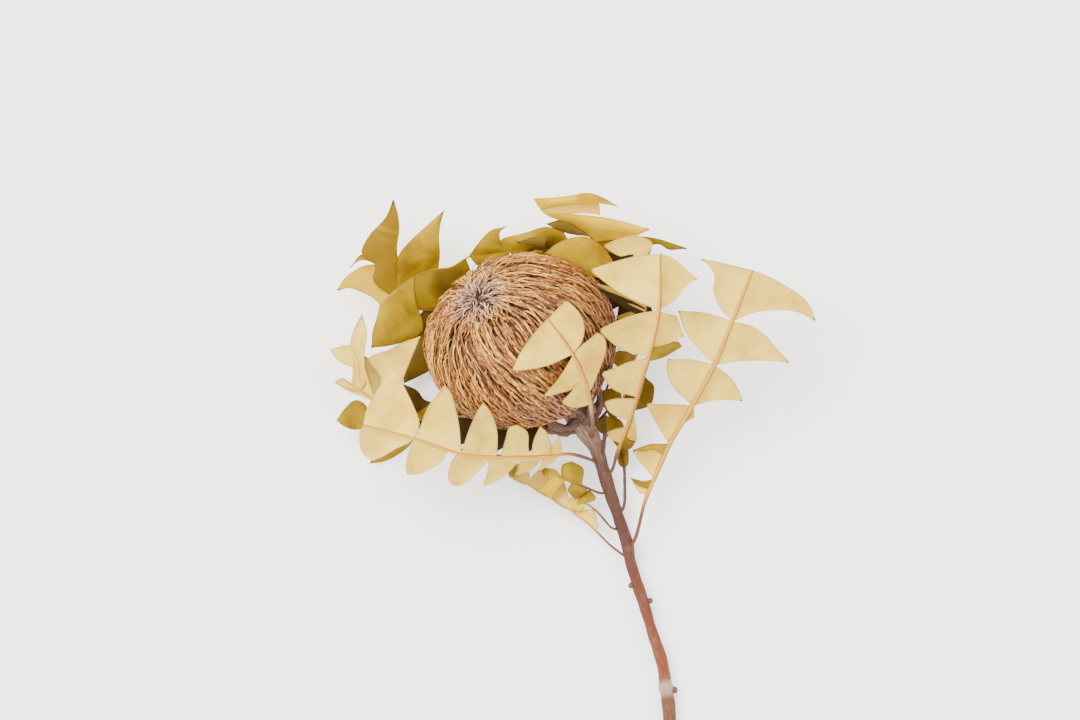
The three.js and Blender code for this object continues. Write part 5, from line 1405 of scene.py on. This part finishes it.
    def layer_mesh(self, layer: Layer, random: np.random.Generator) -> bpy.types.Object:
        """Lays copies of one style over the head.

        Args:
            layer: how they lie.
            random: the draw.

        Returns:
            All of the layer's styles in one mesh.
        """
        points, faces = self.one_style(layer)
        count = layer.count
        order = (np.arange(count) + 0.5) / count
        low, high = math.cos(layer.polar[0]), math.cos(layer.polar[1])
        order = np.clip(order + random.normal(0, self.order_spread, count), 0, 1)
        polar = np.arccos(low + (high - low) * order)
        turn = np.arange(count) * math.pi * (3 - math.sqrt(5)) + random.normal(0, self.turn_spread, count)
        length = layer.length * random.uniform(*self.length_spread, count)
        s = np.linspace(0, 1, layer.rings)[None, :]
        reach, bearing = self.flow(layer, polar, turn, length, random)
        lift = random.uniform(*layer.lift, count)[:, None]
        rise = np.clip(s / self.root_share, 0, 1)
        rise = rise * rise * (3 - 2 * rise)
        height = layer.root + (lift - layer.root) * rise
        pace = random.uniform(*self.ripple_pace, count)[:, None]
        height += self.ripple * np.sin(pace * s + random.uniform(0, WHOLE_TURN, count)[:, None]) * rise
        height += random.uniform(*self.tip_lift, count)[:, None] * s ** 3 * (1 + layer.loose)
        middle = self.place(reach, bearing, height)
        ahead = np.gradient(middle, axis=1)
        ahead /= np.linalg.norm(ahead, axis=2)[..., None]
        outward = self.place(reach, bearing, height + 1.0) - self.place(reach, bearing, height - 1.0)
        outward -= ahead * np.sum(outward * ahead, axis=2)[..., None]
        outward /= np.maximum(np.linalg.norm(outward, axis=2), 1e-6)[..., None]
        sideways = np.cross(outward, ahead)
        ring = np.rint(points[:, 2] * (layer.rings - 1)).astype(int)
        half = layer.width / 2 * random.uniform(*self.width_spread, count)
        places = middle[:, ring]
        places = places + sideways[:, ring] * (points[:, 0] * half[:, None])[..., None]
        places = places + outward[:, ring] * (points[:, 1] * self.flatness * half[:, None])[..., None]
        places[..., 2] = np.maximum(places[..., 2], self.lowest)
        size = len(points)
        corners = [tuple(i * size + v for v in f) for i in range(count) for f in faces]
        mesh = bpy.data.meshes.new(layer.name)
        mesh.from_pydata((places.reshape(-1, 3) * MM).tolist(), [], corners)
        obj = bpy.data.objects.new(layer.name, mesh)
        bpy.context.scene.collection.objects.link(obj)
        set_float(obj, "tone", np.repeat(random.uniform(*layer.tone, count), size))
        set_float(obj, "polar", reach[:, ring])
        # Depth among the others sets the painted shade of the styles
        set_float(obj, "depth", np.clip((height[:, ring] - self.buried_at) / self.out_over, 0, 1))
        smooth(obj, 60)
        return obj

    def core(self, finishes: Finishes) -> bpy.types.Object:
        """Makes the woody core that the styles stand on.

        Args:
            finishes: the finishes.

        Returns:
            The core.
        """
        deselect()
        bpy.ops.mesh.primitive_uv_sphere_add(segments=64, ring_count=40, radius=1)
        obj = bpy.context.object
        obj.name = "head_core"
        unit = points_of(obj)
        polar = np.arccos(np.clip(unit[:, 2], -1, 1))
        turn = np.arctan2(unit[:, 1], unit[:, 0])
        lumps = self.core_lumps * np.sin(9 * turn + 4 * polar) * np.sin(8 * polar) * np.sin(polar)
        move_points(obj, self.place(polar, turn, lumps - self.core_sink))
        face_outward(obj)
        obj.data.materials.append(finishes.core)
        smooth(obj, 60)
        return obj

    def loops(self, finishes: Finishes) -> bpy.types.Object:
        """Makes the few styles that curl into small loops at the crown.

        Args:
            finishes: the finishes.

        Returns:
            The loops in one mesh.
        """
        rods = []
        middle, before, above = (np.array(height) for height in self.loop_heights)
        for polar, turn, radius in self.loop_places:
            hub = self.place(np.array(polar), np.array(turn), middle)
            ahead = unit_of(self.place(np.array(polar + 0.1), np.array(turn), before) - hub)
            outward = self.place(np.array(polar), np.array(turn), above) - hub
            outward = unit_of(outward - ahead * np.dot(outward, ahead))
            over = np.cross(outward, ahead)
            angle = np.linspace(-0.4, 1.65 * math.pi, self.loop_steps)
            round_it = np.cos(angle)[:, None] * ahead * self.loop_stretch + np.sin(angle)[:, None] * over
            ring = hub + radius * round_it
            ring += np.linspace(*self.loop_rise, self.loop_steps)[:, None] * outward
            radii = np.linspace(*self.loop_radius, self.loop_steps)
            rods.append(tube("loop", ring, radii, self.loop_sides))
        obj = join(rods, "crown_loops")
        for key, value in (("tone", 0.25), ("polar", 0.1), ("depth", 0.9)):
            set_float(obj, key, np.full(len(obj.data.vertices), value))
        obj.data.materials.append(finishes.style)
        smooth(obj, 60)
        return obj

    def build(self, finishes: Finishes) -> list[bpy.types.Object]:
        """Builds the head.

        Args:
            finishes: the finishes.

        Returns:
            Its pieces.
        """
        random = np.random.default_rng(self.seed)
        pieces = []
        for layer in self.layers:
            obj = self.layer_mesh(layer, random)
            obj.data.materials.append(finishes.style)
            pieces.append(obj)
        pieces += [self.core(finishes), self.loops(finishes)]
        for obj in pieces:
            hand_over(obj, "flower_head")
        return pieces


# Stem


@dataclass
class Stem:
    """The bent woody stem, its ring, knob and scars, and the bracts under the head.

    Each point of line holds its place and the stem's radius there. Each knob is a place and a
    radius too. wrinkles says how many furrows run round the stem in each set of them. The knobs
    and the arms take the bark's colour at one share of the stem's length, their reach.
    """

    line: Sequence[tuple[float, float, float, float]] = (
        (64, -232, 3.1, 3.1), (67, -205, 3.3, 3.0), (67.5, -185, 3.9, 2.9), (67.2, -172.5, 4.4, 3.0),
        (65.8, -161, 4.9, 3.1), (63.9, -149, 5.3, 2.7), (59.3, -134.8, 6.0, 2.6), (55.2, -121, 6.6, 2.6),
        (52, -111.3, 7.2, 2.7), (49.2, -102.1, 7.7, 2.7), (48, -95.2, 8.0, 2.8), (44.2, -83.3, 8.6, 2.8),
        (40, -70.8, 9.1, 2.9), (36.3, -58.9, 9.5, 3.1), (33.6, -50.6, 9.8, 3.6), (30.4, -44.4, 10.4, 4.5),
        (26.4, -36.6, 12.4, 6.4), (23.6, -29.6, 15.2, 8.2), (21.4, -23, 18.6, 8.0),
    )
    ring_at: Point = (66.1, -160.5, 4.9)
    ring_swell: float = 0.7
    ring_width: float = 1.6
    ring_paleness: float = 0.8
    pale_width: float = 4.2
    wrinkles: Sequence[int] = (3, 5, 8, 11)
    wrinkle_depth: float = 0.035
    knobs: Sequence[tuple[float, float, float, float]] = (
        (69.3, -161.5, 5.2, 1.7), (49.6, -113.5, 7.6, 1.3), (58.4, -120.4, 7.0, 1.3),
    )
    arm_lines: Sequence[Sequence[Point]] = (
        ((26, -37, 17), (20, -41, 20), (13.5, -39.5, 25), (10.5, -35, 29), (11.5, -30, 32)),
        ((27, -35, 20), (23, -31, 27), (20, -28.5, 32), (17, -26, 34)),
        ((24, -42, 12), (17, -43, 15), (10, -41, 19), (5, -37, 20)),
        ((30, -40, 14), (34, -34, 18), (35, -27, 22), (33, -21, 25)),
        ((28, -38, 16), (31, -33, 24), (30, -28, 30), (27, -24, 34)),
    )
    arm_radius: float = 2.3
    arm_narrowing: float = 0.8
    arm_reach: float = 0.835
    knob_reach: float = 0.2
    bract_count: int = 22
    bract_thickness: float = 0.9
    bract_seat: float = 2.4
    bract_gap: float = 5.0
    bract_length: tuple[float, float] = (8, 13)
    bract_lift: tuple[float, float] = (1.5, 4.5)
    bract_stagger: float = 1.2
    bract_half_width: float = 2.3
    bract_point: float = 0.25
    sides: int = 36
    steps: int = 14
    seed: int = 31

    def rod(self) -> bpy.types.Object:
        """Makes the wrinkled rod of the stem.

        Returns:
            The rod.
        """
        random = np.random.default_rng(self.seed)
        course = Course([(x, y, z) for x, y, z, _ in self.line])
        spans = len(self.line) - 1
        centres = course.sampled(spans * self.steps)
        share = np.linspace(0, spans, len(centres))
        radii = np.interp(share, np.arange(spans + 1), [r for *_, r in self.line])
        from_ring = np.linalg.norm(centres - np.array(self.ring_at), axis=1)
        radii = radii + self.ring_swell * np.exp(-(from_ring / self.ring_width) ** 2)
        turn = np.linspace(0, 2 * math.pi, self.sides, endpoint=False)
        length = run_along(centres)
        wrinkle = np.zeros((len(centres), self.sides))
        for count in self.wrinkles:
            phase = random.uniform(0, WHOLE_TURN)
            drift = random.uniform(6, 15)
            bend = np.sin(length / drift + phase) + 0.5 * np.sin(length / 3.1 + 2 * phase)
            wrinkle += np.sin(count * turn[None, :] + 0.8 * bend[:, None] + phase) / count ** 0.7
        lumps = 0.05 * np.sin(length / 4.3) + 0.03 * np.sin(length / 1.7 + 1)
        radii = radii[:, None] * (1 + self.wrinkle_depth * wrinkle + lumps[:, None])
        rod = tube("stem_rod", centres, radii, self.sides)
        near = np.linalg.norm(points_of(rod) / MM - np.array(self.ring_at), axis=1)
        set_float(rod, "ring", self.ring_paleness * np.exp(-(near / self.pale_width) ** 4))
        return rod

    def knob(self, *place: float, radius: float) -> bpy.types.Object:
        """Makes one bud scar or knob as a small lumpy ball.

        Args:
            place: where it sits, in millimetres.
            radius: its size, in millimetres.

        Returns:
            The knob.
        """
        deselect()
        bpy.ops.mesh.primitive_ico_sphere_add(subdivisions=4, radius=1)
        obj = bpy.context.object
        unit = points_of(obj)
        lumps = 1 + 0.08 * np.sin(5 * unit[:, 0] + 3 * unit[:, 1]) + 0.06 * np.sin(9 * unit[:, 2])
        move_points(obj, unit * radius * lumps[:, None] + np.array(place))
        set_float(obj, "reach", np.full(len(unit), self.knob_reach))
        return obj

    def arms(self) -> list[bpy.types.Object]:
        """Makes the short mauve arms that fork from the neck to the foot of the head.

        Returns:
            The arms.
        """
        rods = []
        for number, line in enumerate(self.arm_lines):
            centres = Course(line).sampled(24)
            share = np.linspace(0, 1, len(centres))
            radii = self.arm_radius - self.arm_narrowing * share
            radii += 0.4 * np.sin(17 * share + 2 * number) + 0.2 * np.sin(41 * share)
            rod = tube("arm", centres, radii, 14)
            set_float(rod, "reach", np.full(len(rod.data.vertices), self.arm_reach))
            rods.append(rod)
        return rods

    def bracts(self) -> list[bpy.types.Object]:
        """Makes the felted bracts that spread round the foot of the head.

        Returns:
            The bracts, as sheets.
        """
        head = FlowerHead()
        random = np.random.default_rng(self.seed + 1)
        side, up, axis = head.basis()
        foot = head.place(np.array(math.pi), np.array(0.0), np.array(0.0))
        seat = foot - self.bract_seat * axis
        made = []
        for i in range(self.bract_count):
            angle = 2 * math.pi * i / self.bract_count + random.normal(0, 0.08)
            outward = side * math.cos(angle) + up * math.sin(angle)
            along = np.cross(axis, outward)
            reach = random.uniform(*self.bract_length)
            s = np.linspace(0, 1, 9)
            t = np.linspace(-1, 1, 5)
            lift = random.uniform(*self.bract_lift)
            centre = seat + outward * (self.bract_gap + reach * s)[:, None]
            centre = centre + axis * (lift * s ** 2 - self.bract_stagger * (i % 2))[:, None]
            half = (self.bract_half_width * (1 - s ** 2.2) + self.bract_point)[:, None]
            places = centre[:, None, :] + along * (half * t[None, :])[..., None]
            places = places + axis * (0.5 * half * t[None, :] ** 2)[..., None]
            uv = np.stack(np.broadcast_arrays(s[:, None] * reach, half * t[None, :]), axis=-1)
            made.append(sheet("bract", places, uv, {}))
        return made

    def build(self, finishes: Finishes) -> list[bpy.types.Object]:
        """Builds the stem.

        Args:
            finishes: the finishes.

        Returns:
            Its pieces.
        """
        bars = [self.rod()]
        bars += [self.knob(*place, radius=radius) for *place, radius in self.knobs]
        bars += self.arms()
        for bar in bars:
            bar.data.materials.append(finishes.bark)
        stem = join(bars, "stem_dressed")
        smooth(stem, 60)
        bracts = join(self.bracts(), "bracts")
        bracts.data.materials.append(finishes.bract)
        thicken(bracts, self.bract_thickness)
        smooth(bracts, 60)
        for obj in (stem, bracts):
            hand_over(obj, "stem")
        return [stem, bracts]


# Studio


@dataclass
class Studio:
    """Pale floor, soft light and a camera that looks straight down.

    Each soft box has a name, a place and a size in metres, and a power in watts.
    """

    lens: float = 181.2
    floor_size: float = 6.0
    floor_glow: float = 0.9
    surround: float = 1.5
    boxes: Sequence[tuple[str, Point, float, float]] = (
        ("key_light", (-0.8, 0.8, 1.9), 1.3, 104),
        ("fill_light", (1.3, -0.4, 1.6), 1.6, 18),
    )

    def camera(self) -> None:
        """Puts the camera over the flower."""
        data = bpy.data.cameras.new("camera")
        data.lens = self.lens
        data.sensor_width = 36
        obj = bpy.data.objects.new("camera", data)
        obj.location = Vector(EYE) * MM
        bpy.context.scene.collection.objects.link(obj)
        bpy.context.scene.camera = obj

    def floor(self) -> None:
        """Lays the pale floor."""
        deselect()
        bpy.ops.mesh.primitive_plane_add(size=self.floor_size)
        obj = bpy.context.object
        obj.name = "floor"
        graph = Graph("white_paper_floor")
        for key, value in {
            "Base Color": linear("f7f6f4"), "Roughness": 0.95, "Specular IOR Level": 0.0,
            "Emission Color": linear("ffffff"), "Emission Strength": self.floor_glow,
        }.items():
            graph.shader.inputs[key].default_value = value
        obj.data.materials.append(graph.material)

    def lights(self) -> None:
        """Hangs the soft boxes and sets the even surround."""
        for name, place, size, power in self.boxes:
            data = bpy.data.lights.new(name, "AREA")
            data.energy = power
            data.size = size
            obj = bpy.data.objects.new(name, data)
            obj.location = place
            obj.rotation_euler = (Vector((0, 0, 0)) - Vector(place)).to_track_quat("-Z", "Y").to_euler()
            bpy.context.scene.collection.objects.link(obj)
        world = bpy.data.worlds.new("soft_surround")
        world.use_nodes = True
        light = world.node_tree.nodes["Background"]
        light.inputs["Color"].default_value = linear("ffffff")
        light.inputs["Strength"].default_value = self.surround
        bpy.context.scene.world = world

    def build(self) -> None:
        """Sets up the studio."""
        self.camera()
        self.floor()
        self.lights()


def triangles(obj: bpy.types.Object) -> int:
    """Counts the triangles of a piece."""
    return sum(len(p.vertices) - 2 for p in obj.data.polygons)


def main() -> None:
    """Builds the flower's pieces in order and the studio round them."""
    logging.basicConfig(level=logging.INFO, format="%(name)s: %(message)s")
    Studio().build()
    finishes = Finishes()
    pieces = [*Stem().build(finishes), *FlowerHead().build(finishes)]
    pieces += [leaf.build(finishes) for leaf in LEAVES]
    for piece in pieces:
        LOG.info("%s, %d triangles", piece.name, triangles(piece))
    deselect()


if __name__ == "__main__":
    main()
